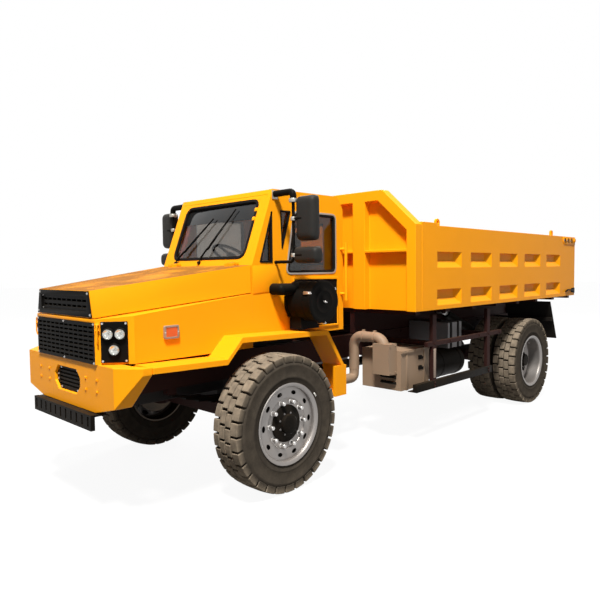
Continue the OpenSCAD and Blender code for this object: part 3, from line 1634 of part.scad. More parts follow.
// One side wall of the bed with its pressed pockets and lifting lugs
module bed_side() {
  difference() {
    union() {
      box([bed_rear_x, wall_in, bed_z], [wall_front_x, bed_half, bed_top_z]);
      box([bed_front_x - wall_rise_l, wall_in, bed_top_z - overrun],
        [wall_front_x, bed_half, bed_top_z + wall_rise]);
      for (x = [hook_front_x, hook_rear_x])
        xz(bed_half - (wall_t + hook_t) * half, bed_half - (wall_t - hook_t) * half) union() {
          translate([x, bed_top_z + hook_rise]) circle(hook_r);
          translate([x - hook_r, bed_top_z - overrun]) square([hook_r / half, hook_rise + overrun]);
        }
    }
    for (i = [0 : pockets - 1], z = [pocket_low_z, pocket_up_z]) {
      x = bed_front_x - pocket_first - i * pocket_pitch;
      intersection() {
        yz(x - pocket_l, x) polygon([[bed_half, z], [bed_half - pocket_d, z + pocket_h * half],
          [bed_half - pocket_d, z + pocket_h], [bed_half + overrun, z + pocket_h],
            [bed_half + overrun, z]]);
        xy(z, z + pocket_h) polygon([[x, bed_half + overrun], [x, bed_half - pocket_d],
          [x - pocket_l + pocket_end, bed_half - pocket_d], [x - pocket_l, bed_half],
            [x - pocket_l, bed_half + overrun]]);
      }
    }
    for (x = [hook_front_x, hook_rear_x])
      bar_y(hook_hole_r, x, bed_top_z + hook_rise, wall_in - overrun, bed_half + overrun);
    bar_y(gate_pin_r + run_gap, gate_pin_x, gate_pin_z, wall_in - overrun,
      bed_half - wall_t * half * half);
  }
}

module bed_left() {
  color(paint) at_axle() bed_side();
}

module bed_right() {
  color(paint) at_axle() mirror([0, 1, 0]) bed_side();
}

module tailgate() {
  edge = wall_in - gate_gap;
  color(paint) at_axle() {
    box([bed_rear_x, -edge, floor_top_z + gate_gap], [bed_rear_x + gate_t, edge, gate_top_z]);
    for (i = [0 : gate_ribs - 1]) {
      y = -edge + (edge / half - gate_rib_w) * i / (gate_ribs - 1);
      box([bed_rear_x - gate_rib_t, y, floor_top_z + gate_gap],
        [bed_rear_x, y + gate_rib_w, gate_top_z - gate_rib_w]);
    }
    both() bar_y(gate_pin_r, gate_pin_x, gate_pin_z, edge - overrun, bed_half - wall_t * half);
  }
}

// The child lies along a hoist cylinder, from its lower pin along X
module on_hoist() {
  translate([hoist_base_x, hoist_y, hoist_base_z]) rotate([0, -hoist_turn, 0]) children();
}

// A hoist's eye at a place along the cylinder
module hoist_eye(x) {
  bar_y(hoist_eye_r, x, 0, -hoist_eye_w * half, hoist_eye_w * half);
}

module hoist_barrels() {
  color(dark) at_axle() both() on_hoist() difference() {
    union() {
      hoist_eye(0);
      bar_x(rod_r, 0, 0, 0, barrel_start + overrun);
      bar_x(barrel_r, 0, 0, barrel_start, barrel_start + barrel_len);
    }
    bar_y(hoist_pin_r + run_gap, 0, 0, -hoist_eye_w, hoist_eye_w);
    bar_x(rod_r + run_gap, 0, 0, rod_start - overrun, hoist_len);
  }
}

module hoist_rods() {
  color(steel) at_axle() both() on_hoist() difference() {
    union() {
      bar_x(rod_r, 0, 0, rod_start, hoist_len);
      hoist_eye(hoist_len);
    }
    bar_y(hoist_pin_r + run_gap, hoist_len, 0, -hoist_eye_w, hoist_eye_w);
  }
}

frame();
front_axle();
rear_axle();
leaf_springs();
engine();
drive_shaft();
front_bumper();
bumper_guard();
nose_grille();
nose_left();
nose_right();
lamp_panels();
head_lamps();
side_markers();
cab_floor();
cab_front();
cab_left();
cab_right();
cab_back();
cab_roof();
cab_glass();
dashboard();
seat();
wipers();
mirrors();
air_cleaner();
exhaust_box();
side_guards();
tanks();
air_tank();
mud_flaps();
tail_lamps();
hood();
hood_grille();
door();
door_glass();
steering_wheel();
knuckle_left();
knuckle_right();
tie_rod();
tyre_front_left();
tyre_front_right();
tyres_rear_left();
tyres_rear_right();
wheel_front_left();
wheel_front_right();
wheels_rear_left();
wheels_rear_right();
bed_floor();
headboard();
bed_left();
bed_right();
tailgate();
hoist_barrels();
hoist_rods();
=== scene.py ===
"""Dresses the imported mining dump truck: finishes, fittings, studio and camera."""
import logging
import math
from dataclasses import dataclass, field
from enum import Enum
from functools import cache
from itertools import product
from typing import Callable, Optional, Sequence

import bmesh
import bpy
from mathutils import Matrix, Vector


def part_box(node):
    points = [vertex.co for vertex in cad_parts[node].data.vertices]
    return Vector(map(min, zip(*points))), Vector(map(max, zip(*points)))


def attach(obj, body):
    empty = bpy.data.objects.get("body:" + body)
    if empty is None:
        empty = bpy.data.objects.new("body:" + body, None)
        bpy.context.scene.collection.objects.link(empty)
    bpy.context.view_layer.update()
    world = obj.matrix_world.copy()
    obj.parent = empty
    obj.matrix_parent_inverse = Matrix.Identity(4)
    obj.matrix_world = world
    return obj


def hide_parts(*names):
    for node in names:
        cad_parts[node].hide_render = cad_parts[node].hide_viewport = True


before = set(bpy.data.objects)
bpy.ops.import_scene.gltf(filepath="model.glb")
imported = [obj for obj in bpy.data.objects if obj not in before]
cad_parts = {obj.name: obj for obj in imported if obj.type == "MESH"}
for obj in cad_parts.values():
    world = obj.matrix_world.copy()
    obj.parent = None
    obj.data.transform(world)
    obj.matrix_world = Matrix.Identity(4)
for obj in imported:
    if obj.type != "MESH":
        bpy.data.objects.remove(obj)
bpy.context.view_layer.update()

log = logging.getLogger("truck")
Rgb = tuple[float, float, float]
Place = tuple[float, float, float]
Pair = tuple[float, float]
Profile = tuple[Pair, ...]
Socket = bpy.types.NodeSocket
Sockets = bpy.types.bpy_prop_collection
AXLE_X: float = sum(corner[0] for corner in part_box("front_axle")) / 2.0
SIDES: tuple[tuple[str, float], ...] = (("left", 1.0), ("right", -1.0))
CORNERS: tuple[tuple[int, int], ...] = ((1, -1), (-1, -1), (-1, 1), (1, 1))
# Edges sharper than this, in degrees, stay crisp unless a piece says otherwise.
CREASE: float = 32.0
# The least radius of a turned shape, so that its ends keep separate corners.
THIN: float = 1e-4
# The most of a leg of a path that the bend at its end may take.
NEAR_HALF: float = 0.49
X, Y, Z = Vector((1.0, 0.0, 0.0)), Vector((0.0, 1.0, 0.0)), Vector((0.0, 0.0, 1.0))


def at(x: float, y: float, z: float) -> Vector:
    """A point measured from the front axle, as the part's source measures."""
    return Vector((AXLE_X + x, y, z))


def srgb(red: float, green: float, blue: float) -> Rgb:
    """Turns a colour as seen on a screen into a linear one.

    Args:
        red, green, blue: shares from 0 to 1.

    Returns:
        The linear colour.
    """
    return tuple(c / 12.92 if c <= 0.04045 else ((c + 0.055) / 1.055) ** 2.4 for c in (red, green, blue))


class Graph:
    """Wires the nodes of one tree."""

    def __init__(self, tree: bpy.types.NodeTree) -> None:
        """Takes the tree to fill."""
        self.tree = tree

    def node(self, kind: str, *feeds: object, **settings: object) -> bpy.types.Node:
        """Adds a node.

        Args:
            kind: the node's type.
            feeds: sockets or values for its first inputs; None leaves one as it is.
            settings: properties to set; a key that names an input feeds it.

        Returns:
            The node.
        """
        node = self.tree.nodes.new(kind)
        for key, value in settings.items():
            if hasattr(node, key):
                setattr(node, key, value)
            else:
                self.feed(node.inputs[key.replace("_", " ")], value)
        for socket, value in zip(node.inputs, feeds):
            if value is not None:
                self.feed(socket, value)
        return node

    def feed(self, socket: Socket, value: object) -> None:
        """Feeds an input.

        Args:
            socket: the input.
            value: the socket to join it to, or a plain value.
        """
        if isinstance(value, Socket):
            self.tree.links.new(value, socket)
        else:
            socket.default_value = value

    def math(self, operation: str, *values: object, clamp: bool = False) -> Socket:
        """Adds a Math node.

        Args:
            operation: what it does.
            values: its inputs, sockets or numbers.
            clamp: whether the result stays between 0 and 1.

        Returns:
            Its output.
        """
        return self.node("ShaderNodeMath", *values, operation=operation, use_clamp=clamp).outputs[0]

    def spread(self, value: object, low: float, high: float, to_low: float = 0.0, to_high: float = 1.0) -> Socket:
        """Maps a range of values to another, clamped."""
        return self.node("ShaderNodeMapRange", value, low, high, to_low, to_high).outputs[0]

    def mix(self, share: object, first: object, second: object, blend: str = "MIX") -> Socket:
        """Mixes two colours.

        Args:
            share: how much the second one counts.
            first: a colour.
            second: the other colour.
            blend: the way they mix.

        Returns:
            The mixed colour.
        """
        node = self.node("ShaderNodeMix", share, data_type="RGBA", blend_type=blend)
        self.feed(node.inputs[6], first)
        self.feed(node.inputs[7], second)
        return node.outputs[2]

    def part(self, kind: str, output: str, axis: int) -> Socket:
        """One axis of the vector that a node of this kind gives."""
        return self.node("ShaderNodeSeparateXYZ", self.node(kind).outputs[output]).outputs[axis]

    def noise(self, scale: object, detail: float = 4.0, stretch: Optional[Rgb] = None) -> Socket:
        """Adds a noise on Object coordinates.

        Args:
            scale: waves per metre.
            detail: how many finer layers it has.
            stretch: a scale for each axis, or None.

        Returns:
            The noise's value.
        """
        place = self.node("ShaderNodeTexCoord").outputs["Object"]
        if stretch:
            place = self.node("ShaderNodeMapping", place, Scale=stretch).outputs[0]
        return self.node("ShaderNodeTexNoise", place, Scale=scale, Detail=detail).outputs["Fac"]


def shader_group(name: str, inputs: dict[str, object], *outputs: str) -> tuple[Graph, Sockets, Sockets]:
    """Starts a shader node group.

    Args:
        name: the group's name.
        inputs: usual value of each input; four numbers make a colour.
        outputs: labels of the outputs; the one called Color is a colour, the others are values.

    Returns:
        The group's graph, the sockets of its inputs and those of its outputs.
    """
    tree = bpy.data.node_groups.new(name, "ShaderNodeTree")
    for label, usual in inputs.items():
        kind = "NodeSocketColor" if isinstance(usual, tuple) else "NodeSocketFloat"
        tree.interface.new_socket(label, in_out="INPUT", socket_type=kind).default_value = usual
    for label in outputs:
        kind = "NodeSocketColor" if label == "Color" else "NodeSocketFloat"
        tree.interface.new_socket(label, in_out="OUTPUT", socket_type=kind)
    graph = Graph(tree)
    return graph, graph.node("NodeGroupInput").outputs, graph.node("NodeGroupOutput").inputs


class Effects:
    """Effects that several finishes share."""

    def __init__(self) -> None:
        """Builds each group once."""
        self.dust = self._dust()
        self.grain = self._grain()
        self.wear = self._wear()

    def _dust(self) -> bpy.types.NodeTree:
        """Site dust that lies on upward faces, low down and in patches.

        Returns:
            The group.
        """
        graph, enter, leave = shader_group("site_dust", {
            "Base": (0.5, 0.5, 0.5, 1.0), "Dust": (0.3, 0.25, 0.2, 1.0),
            "Even": 0.1, "Top": 0.3, "Low": 0.3, "Scale": 4.0}, "Color", "Mask")
        patches = graph.spread(graph.noise(enter["Scale"], 6.0), 0.3, 0.72)
        specks = graph.spread(graph.noise(95.0, 2.0), 0.35, 0.7, 0.55, 1.0)
        upward = graph.math("MAXIMUM", graph.part("ShaderNodeNewGeometry", "Normal", 2), 0.0)
        low = graph.spread(graph.part("ShaderNodeTexCoord", "Object", 2), 0.35, 1.3, 1.0, 0.0)
        lying = graph.math("MULTIPLY", graph.math("POWER", upward, 2.0), enter["Top"])
        total = graph.math("ADD", lying, graph.math("MULTIPLY", low, enter["Low"]))
        total = graph.math("MULTIPLY", graph.math("ADD", total, enter["Even"]), specks)
        mask = graph.math("MULTIPLY", total, graph.spread(patches, 0.0, 1.0, 0.35, 1.0), clamp=True)
        graph.feed(leave["Color"], graph.mix(mask, enter["Base"], enter["Dust"]))
        graph.feed(leave["Mask"], mask)
        return graph.tree

    def _grain(self) -> bpy.types.NodeTree:
        """Fine skin of a surface with a slow change of tone.

        Returns:
            The group.
        """
        graph, enter, leave = shader_group("fine_grain", {"Scale": 300.0, "Tone": 0.06}, "Height", "Tone")
        graph.feed(leave["Height"], graph.noise(enter["Scale"], 3.0))
        swing = graph.math("MULTIPLY", graph.math("SUBTRACT", graph.noise(2.3, 3.0), 0.5), enter["Tone"])
        graph.feed(leave["Tone"], graph.math("ADD", swing, 1.0))
        return graph.tree

    def _wear(self) -> bpy.types.NodeTree:
        """Scuffs along edges, and a few scratches on the faces.

        Returns:
            The group.
        """
        graph, enter, leave = shader_group("edge_wear", {"Radius": 0.006, "Amount": 0.5}, "Mask")
        bent = graph.node("ShaderNodeBevel", samples=4, Radius=enter["Radius"]).outputs[0]
        normal = graph.node("ShaderNodeNewGeometry").outputs["Normal"]
        dot = graph.node("ShaderNodeVectorMath", bent, normal, operation="DOT_PRODUCT").outputs["Value"]
        broken = graph.spread(graph.noise(26.0, 5.0), 0.5, 0.62)
        scratch = graph.spread(graph.noise(34.0, 3.0, (1.0, 1.0, 0.12)), 0.70, 0.76, 0.0, 0.35)
        mask = graph.math("ADD", graph.math("MULTIPLY", graph.spread(dot, 0.97, 0.80), broken), scratch)
        graph.feed(leave["Mask"], graph.math("MULTIPLY", mask, enter["Amount"], clamp=True))
        return graph.tree


EFFECTS = Effects()
SITE_DUST: Rgb = srgb(0.58, 0.48, 0.37)
# Near black, the colour of painted shade.
UNLIT: Rgb = (0.006, 0.006, 0.006)


def blank(name: str) -> tuple[bpy.types.Material, Graph, Sockets]:
    """Starts a material.

    Args:
        name: the material's name.

    Returns:
        The material, its graph and the inputs of its shader.
    """
    material = bpy.data.materials.new(name)
    material.use_nodes = True
    return material, Graph(material.node_tree), material.node_tree.nodes["Principled BSDF"].inputs


@dataclass(frozen=True)
class Finish:
    """A painted, metal, rubber or plastic surface with its grain, dust and wear."""

    name: str
    colour: Rgb
    rough: float
    metal: float = 0.0
    coat: float = 0.0
    specular: float = 0.5
    dust: Place = (0.03, 0.15, 0.2)
    dust_colour: Rgb = SITE_DUST
    grain: float = 240.0
    bump: float = 0.05
    tone: float = 0.12
    wear: float = 0.0
    wear_colour: Rgb = (0.1, 0.07, 0.05)
    mark: str = ""
    # Inboard of this distance from the middle plane the colour turns near black: painted shade on the wheels' inner
    # sides; 0 leaves it out.
    painted_shade_within: float = 0.0

    def build(self) -> bpy.types.Material:
        """Makes the material.

        Returns:
            The material, its effects wired to its shader.
        """
        material, graph, shader = blank(self.name)
        plain = {"Metallic": self.metal, "Coat Weight": self.coat, "Coat Roughness": 0.18,
                 "Specular IOR Level": self.specular}
        for key, value in plain.items():
            shader[key].default_value = value
        grain = graph.node("ShaderNodeGroup", node_tree=EFFECTS.grain, Scale=self.grain, Tone=self.tone).outputs
        colour = graph.mix(1.0, (*self.colour, 1.0), grain["Tone"], "MULTIPLY")
        if self.wear:
            worn = graph.node("ShaderNodeGroup", node_tree=EFFECTS.wear, Amount=self.wear).outputs["Mask"]
            colour = graph.mix(worn, colour, (*self.wear_colour, 1.0))
        # Painted shade: faces inboard of the given distance turn near black.
        if self.painted_shade_within:
            away = graph.math("ABSOLUTE", graph.part("ShaderNodeTexCoord", "Object", 1))
            deep = graph.spread(away, self.painted_shade_within - 0.012, self.painted_shade_within, 1.0, 0.0)
            colour = graph.mix(deep, colour, (*UNLIT, 1.0))
        even, top, low = self.dust
        dust = graph.node("ShaderNodeGroup", node_tree=EFFECTS.dust, Base=colour, Dust=(*self.dust_colour, 1.0),
                          Even=even, Top=top, Low=low).outputs
        colour, mask = dust["Color"], dust["Mask"]
        if self.mark:
            lain = graph.node("ShaderNodeAttribute", attribute_name=self.mark).outputs["Fac"]
            patches = graph.spread(graph.noise(18.0, 5.0), 0.25, 0.7, 0.45, 1.0)
            patchy = graph.math("MULTIPLY", lain, patches, clamp=True)
            colour = graph.mix(patchy, colour, (*self.dust_colour, 1.0))
            mask = graph.math("MAXIMUM", mask, patchy)
        graph.feed(shader["Base Color"], colour)
        rough = graph.spread(grain["Height"], 0.3, 0.7, self.rough - 0.05, self.rough + 0.05)
        dulled = graph.math("ADD", rough, graph.math("MULTIPLY", mask, 0.35), clamp=True)
        graph.feed(shader["Roughness"], dulled)
        bump = graph.node("ShaderNodeBump", Strength=self.bump, Distance=0.002, Height=grain["Height"])
        graph.feed(shader["Normal"], bump.outputs[0])
        return material


@dataclass(frozen=True)
class Pane:
    """Clear, tinted or coloured glass, with a film of dust."""

    name: str
    colour: Rgb
    rough: float = 0.02
    clear: float = 1.0
    film: float = 0.10

    def build(self) -> bpy.types.Material:
        """Makes the material.

        Returns:
            Glass that shows what is behind it.
        """
        material, graph, shader = blank(self.name)
        shader["Transmission Weight"].default_value = self.clear
        shader["IOR"].default_value = 1.45
        haze = graph.spread(graph.noise(7.0, 6.0, (1.0, 1.0, 0.5)), 0.35, 0.75, 0.0, self.film)
        graph.feed(shader["Base Color"], graph.mix(haze, (*self.colour, 1.0), (*SITE_DUST, 1.0)))
        graph.feed(shader["Roughness"], graph.math("ADD", haze, self.rough))
        return material


@cache
def made(finish: Finish | Pane) -> bpy.types.Material:
    """The material of a finish, built once."""
    return finish.build()


class Paint(Enum):
    """The truck's finishes by name."""

    BODY = Finish("body_paint", srgb(1.0, 0.645, 0.06), 0.40, coat=0.02, specular=0.07, dust=(0.008, 0.10, 0.05),
                  dust_colour=srgb(0.72, 0.52, 0.30), grain=420.0, bump=0.04, tone=0.10, wear=0.35,
                  wear_colour=srgb(0.60, 0.34, 0.08))
    HOOD = Finish("dusty_hood_paint", srgb(1.0, 0.645, 0.06), 0.42, coat=0.02, specular=0.07, dust=(0.008, 1.9, 0.0),
                  dust_colour=srgb(0.55, 0.36, 0.15), grain=420.0, bump=0.04, tone=0.10, wear=0.3,
                  wear_colour=srgb(0.60, 0.34, 0.08))
    FRAME = Finish("maroon_frame_paint", srgb(0.16, 0.08, 0.075), 0.62, specular=0.08, dust=(0.01, 0.10, 0.03),
                   bump=0.12, wear=0.25, wear_colour=srgb(0.30, 0.18, 0.13))
    BLACK = Finish("satin_black", srgb(0.052, 0.053, 0.052), 0.46, specular=0.03, dust=(0.01, 0.07, 0.05), bump=0.08)
    MATT = Finish("matt_black", srgb(0.04, 0.04, 0.04), 0.78, specular=0.06, dust=(0.005, 0.04, 0.03), bump=0.15)
    # Painted shade: the wheels' inner sides, inboard of the disc, turn near black.
    SILVER = Finish("wheel_silver", srgb(0.57, 0.56, 0.555), 0.40, metal=0.75, dust=(0.06, 0.10, 0.16), bump=0.08,
                    wear=0.3, wear_colour=srgb(0.35, 0.31, 0.27), painted_shade_within=0.92)
    BRIGHT = Finish("bright_steel", srgb(0.80, 0.79, 0.78), 0.36, metal=1.0, dust=(0.02, 0.05, 0.03), bump=0.05)
    STEEL = Finish("grey_steel", srgb(0.46, 0.46, 0.47), 0.45, metal=0.35, dust=(0.06, 0.2, 0.2), bump=0.1)
    ALLOY = Finish("window_alloy", srgb(0.66, 0.65, 0.62), 0.42, metal=0.8, dust=(0.04, 0.1, 0.0), bump=0.04)
    TYRE = Finish("dusty_tyre", srgb(0.135, 0.128, 0.123), 0.86, specular=0.05, dust=(0.03, 0.05, 0.06),
                  dust_colour=srgb(0.60, 0.545, 0.475), grain=160.0, bump=0.3, mark="dust")
    RUBBER = Finish("black_rubber", srgb(0.055, 0.053, 0.052), 0.72, specular=0.09, dust=(0.01, 0.06, 0.05),
                    grain=300.0, bump=0.2)
    TAUPE = Finish("exhaust_taupe", srgb(0.56, 0.47, 0.385), 0.6, dust=(0.06, 0.25, 0.12), bump=0.12, wear=0.4,
                   wear_colour=srgb(0.33, 0.24, 0.17))
    PLASTIC = Finish("grained_plastic", srgb(0.11, 0.113, 0.112), 0.52, specular=0.16, dust=(0.03, 0.10, 0.0),
                     grain=700.0, bump=0.35)
    MIRROR = Finish("mirror_glass", srgb(0.86, 0.88, 0.90), 0.05, metal=1.0, dust=(0.02, 0.0, 0.0), bump=0.0)
    REFLECTOR = Finish("lamp_reflector", srgb(0.88, 0.88, 0.87), 0.12, metal=1.0, dust=(0.02, 0.0, 0.0), bump=0.02)
    STRIP = Finish("inner_trim", srgb(0.95, 0.42, 0.28), 0.55, dust=(0.03, 0.05, 0.0), bump=0.08)
    CLOTH = Finish("woven_seat_cloth", srgb(0.20, 0.20, 0.215), 0.92, specular=0.2, dust=(0.05, 0.12, 0.0),
                   grain=900.0, bump=0.6, tone=0.25)
    STRIPE = Finish("dull_reflector", srgb(0.60, 0.53, 0.48), 0.5, specular=0.2, dust=(0.06, 0.05, 0.1))
    MARK = Finish("paint_mark", srgb(0.90, 0.90, 0.88), 0.6, specular=0.2, dust=(0.04, 0.0, 0.0))
    ENGINE = Finish("engine_grey", srgb(0.14, 0.14, 0.145), 0.6, metal=0.2, specular=0.1, dust=(0.02, 0.12, 0.05),
                    bump=0.15)
    GLASS = Pane("cab_glass", srgb(0.66, 0.645, 0.625))
    LENS = Pane("clear_lens", srgb(0.97, 0.97, 0.96), 0.03, film=0.05)
    TINT = Pane("tinted_band", srgb(0.16, 0.17, 0.18), 0.05, clear=0.55, film=0.05)
    AMBER = Pane("amber_lens", srgb(0.88, 0.36, 0.05), 0.2, clear=0.1)
    RED = Pane("red_lens", srgb(0.86, 0.08, 0.05), 0.12, clear=0.5)

    @property
    def material(self) -> bpy.types.Material:
        """The material, made on its first use."""
        return made(self.value)


@dataclass(frozen=True)
class Slot:
    """A finish with the name of its slot."""

    paint: Paint
    slot: str


BLACK, MATT = Slot(Paint.BLACK, "black_metal"), Slot(Paint.MATT, "black_metal")
STEEL, BRIGHT = Slot(Paint.STEEL, "steel"), Slot(Paint.BRIGHT, "steel")
SILVER, ALLOY = Slot(Paint.SILVER, "steel"), Slot(Paint.ALLOY, "steel")
BODY, FRAME = Slot(Paint.BODY, "paint"), Slot(Paint.FRAME, "frame_paint")
RUBBER, TYRE, TAUPE = Slot(Paint.RUBBER, "rubber"), Slot(Paint.TYRE, "tyre"), Slot(Paint.TAUPE, "taupe")
PLASTIC, STRIPE = Slot(Paint.PLASTIC, "plastic"), Slot(Paint.STRIPE, "plastic")


def put(name: str, data: bpy.types.ID) -> bpy.types.Object:
    """Puts a new object into the scene.

    Args:
        name: the object's name.
        data: its mesh, camera or light.

    Returns:
        The object.
    """
    thing = bpy.data.objects.new(name, data)
    bpy.context.scene.collection.objects.link(thing)
    return thing


def modify(thing: bpy.types.Object, name: str, kind: str, **settings: object) -> bpy.types.Modifier:
    """Adds a modifier with its settings.

    Args:
        thing: the object.
        name: the modifier's name.
        kind: its type.
        settings: its properties.

    Returns:
        The modifier.
    """
    modifier = thing.modifiers.new(name, kind)
    for key, value in settings.items():
        setattr(modifier, key, value)
    return modifier


def evaluated(thing: bpy.types.Object) -> bpy.types.Mesh:
    """Makes a plain mesh of an object.

    Args:
        thing: the object.

    Returns:
        The mesh that its modifiers make.
    """
    graph = bpy.context.evaluated_depsgraph_get()
    seen = thing.evaluated_get(graph)
    return bpy.data.meshes.new_from_object(seen, preserve_all_data_layers=True, depsgraph=graph)


def middle_of(node: str) -> Vector:
    """The middle of a node's box."""
    low, high = (Vector(corner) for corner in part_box(node))
    return (low + high) / 2.0


def along(y: float, *places: Pair) -> list[Vector]:
    """Points in a plane along the truck, each by its x and z."""
    return [at(x, y, z) for x, z in places]


def across(x: float, *places: Pair) -> list[Vector]:
    """Points in a plane across the truck, each by its y and z."""
    return [at(x, y, z) for y, z in places]


def oblong(half: float, low: float, high: float) -> Profile:
    """Corners of a rectangle about the middle plane, each by its y and z."""
    return (-half, low), (half, low), (half, high), (-half, high)


def hoop(inner: float, outer: float, half: float, swell: float = 0.0) -> Profile:
    """Section of a strap round a pipe, thicker in its middle by a swell."""
    middle = ((outer + swell, 0.0),) if swell else ()
    return (inner, -half), (outer, -half), *middle, (outer, half), (inner, half)


def circle(centre: Vector, side: Vector, other: Vector, radius: float, steps: int,
           shift: float = 0.0) -> list[Vector]:
    """Points on a circle that two directions span, the first one turned by a share of a step."""
    turns = [math.tau * (i + shift) / steps for i in range(steps)]
    return [centre + side * (radius * math.cos(t)) + other * (radius * math.sin(t)) for t in turns]


def rounded(path: Sequence[Vector], radius: float, closed: bool = False, steps: int = 5) -> list[Vector]:
    """Rounds the corners of a path.

    Args:
        path: its corners.
        radius: how far before and after a corner the bend begins.
        closed: whether the path ends where it starts.
        steps: points in a bend.

    Returns:
        The rounded path.
    """
    points = [Vector(p) for p in path]
    out: list[Vector] = []
    count = len(points)
    for i, p in enumerate(points):
        if not closed and i in (0, count - 1):
            out.append(p)
            continue
        before, after = points[(i - 1) % count] - p, points[(i + 1) % count] - p
        reach = min(radius, before.length * NEAR_HALF, after.length * NEAR_HALF)
        a, b = p + before.normalized() * reach, p + after.normalized() * reach
        for t in (k / steps for k in range(steps + 1)):
            out.append(a * (1 - t) ** 2 + p * (2 * t * (1 - t)) + b * t ** 2)
    return out


def inset(loop: Sequence[Vector], by: float, normal: Vector) -> list[Vector]:
    """Moves a flat loop inwards.

    Args:
        loop: its points, in order.
        by: how far.
        normal: the loop's normal, by which it runs anticlockwise.

    Returns:
        The smaller loop, point for point.
    """
    runs = [(loop[(i + 1) % len(loop)] - loop[i - 1]).normalized() for i in range(len(loop))]
    return [p + normal.cross(run).normalized() * by for p, run in zip(loop, runs)]


def facing(loop: Sequence[Vector], normal: Vector) -> list[Vector]:
    """Turns a flat loop so that it runs anticlockwise about a normal."""
    area = sum((loop[i - 1].cross(p) for i, p in enumerate(loop)), Vector())
    return list(loop) if area.dot(normal) > 0 else list(reversed(loop))


def settle(mesh: bpy.types.Mesh, name: str, slot: Slot, body: str = "chassis", angle: float = CREASE,
           replaces: Sequence[str] = ()) -> bpy.types.Object:
    """Makes a mesh a piece of the truck that rides on its body.

    Args:
        mesh: the finished mesh, in the truck's frame.
        name: the piece's name.
        slot: its finish and the name of its slot.
        body: the body that carries it.
        angle: edges sharper than this, in degrees, stay crisp.
        replaces: nodes of the part's source that it stands for.

    Returns:
        The piece.
    """
    if not mesh.materials:
        mesh.materials.append(slot.paint.material)
    mesh.shade_smooth()
    mesh.set_sharp_from_angle(angle=math.radians(angle))
    piece = put(name, mesh)
    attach(piece, body)
    if replaces:
        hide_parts(*replaces)
    log.info("%s: %d faces on %s", name, len(mesh.polygons), body)
    return piece


class Shape:
    """Gathers the faces of one piece."""

    def __init__(self) -> None:
        """Starts empty."""
        self.bm = bmesh.new()

    def _close(self, low: Sequence[bmesh.types.BMVert], high: Sequence[bmesh.types.BMVert]) -> None:
        """Joins two loops of as many corners.

        Args:
            low: the first loop.
            high: the second loop.
        """
        for i in range(len(low)):
            k = (i + 1) % len(low)
            self.bm.faces.new((low[i], low[k], high[k], high[i]))

    def loft(self, loops: Sequence[Sequence[Vector]], ring: bool = False) -> "Shape":
        """Skins a row of loops of as many corners.

        Args:
            loops: the loops in order.
            ring: whether the last loop joins the first; if not, both are closed by a face.

        Returns:
            The shape itself.
        """
        rows = [[self.bm.verts.new(p) for p in loop] for loop in loops]
        for low, high in zip(rows, rows[1:]):
            self._close(low, high)
        if ring:
            self._close(rows[-1], rows[0])
        else:
            self.bm.faces.new(rows[0][::-1])
            self.bm.faces.new(rows[-1])
        return self

    def prism(self, outline: Sequence[Vector], reach: Vector) -> "Shape":
        """Draws a flat outline out, as far as reach says."""
        return self.loft([outline, [p + reach for p in outline]])

    def box(self, corner: Vector, other: Vector) -> "Shape":
        """A block between two opposite corners."""
        (a, d), (b, e), (c, f) = (sorted(pair) for pair in zip(corner, other))
        return self.prism([Vector(p) for p in ((a, b, c), (d, b, c), (d, e, c), (a, e, c))], Z * (f - c))

    def lathe(self, profile: Sequence[Pair], centre: Vector, axis: Vector, steps: int = 48,
              ring: bool = False) -> "Shape":
        """Turns a profile about an axis.

        Args:
            profile: radius and distance along the axis of each corner.
            centre: a point on the axis.
            axis: the axis' direction.
            steps: how many faces go round.
            ring: whether the profile closes on itself, as in a ring.

        Returns:
            The shape itself.
        """
        run = axis.normalized()
        side = run.orthogonal().normalized()
        other = run.cross(side)
        loops = [circle(centre + run * rise, side, other, max(r, THIN), steps) for r, rise in profile]
        return self.loft(loops, ring)

    def tube(self, path: Sequence[Vector], radius: float, steps: int = 12, round_by: float = 0.0) -> "Shape":
        """Lays a round bar along a path.

        Args:
            path: its corners.
            radius: the bar's radius.
            steps: how many faces go round.
            round_by: radius of the bends at its corners, or 0.

        Returns:
            The shape itself.
        """
        points = rounded(path, round_by) if round_by else [Vector(p) for p in path]
        loops, side = [], None
        for before, p, after in zip(points[:1] + points, points, points[1:] + points[-1:]):
            run = (after - before).normalized()
            side = run.orthogonal() if side is None else side
            side = (side - run * side.dot(run)).normalized()
            loops.append(circle(p, side, run.cross(side), radius, steps))
        return self.loft(loops)

    def frame(self, outer: Sequence[Vector], inner: Sequence[Vector], reach: Vector) -> "Shape":
        """A flat frame between two loops of as many corners, drawn out."""
        return self.loft([outer, [p + reach for p in outer], [p + reach for p in inner], inner], ring=True)

    def mesh(self, name: str, bevel: float = 0.0, segments: int = 1, angle: float = CREASE) -> bpy.types.Mesh:
        """Turns the faces into a mesh.

        Args:
            name: the mesh's name.
            bevel: width of its rounded edges.
            segments: faces across a rounded edge.
            angle: edges sharper than this, in degrees, are rounded.

        Returns:
            The mesh.
        """
        bmesh.ops.recalc_face_normals(self.bm, faces=self.bm.faces)
        if bevel:
            least = math.radians(angle)
            sharp = [e for e in self.bm.edges if len(e.link_faces) == 2 and e.calc_face_angle(0.0) > least]
            bmesh.ops.bevel(self.bm, geom=sharp, offset=bevel, segments=segments, affect="EDGES", profile=0.5,
                            clamp_overlap=True)
        mesh = bpy.data.meshes.new(name)
        self.bm.to_mesh(mesh)
        self.bm.free()
        return mesh

    def finish(self, name: str, slot: Slot, body: str = "chassis", bevel: float = 0.0, segments: int = 2,
               angle: float = CREASE, replaces: Sequence[str] = ()) -> bpy.types.Object:
        """Turns the faces into a piece of the truck; the arguments are those of mesh and settle."""
        return settle(self.mesh(name, bevel, segments, angle), name, slot, body, angle, replaces)


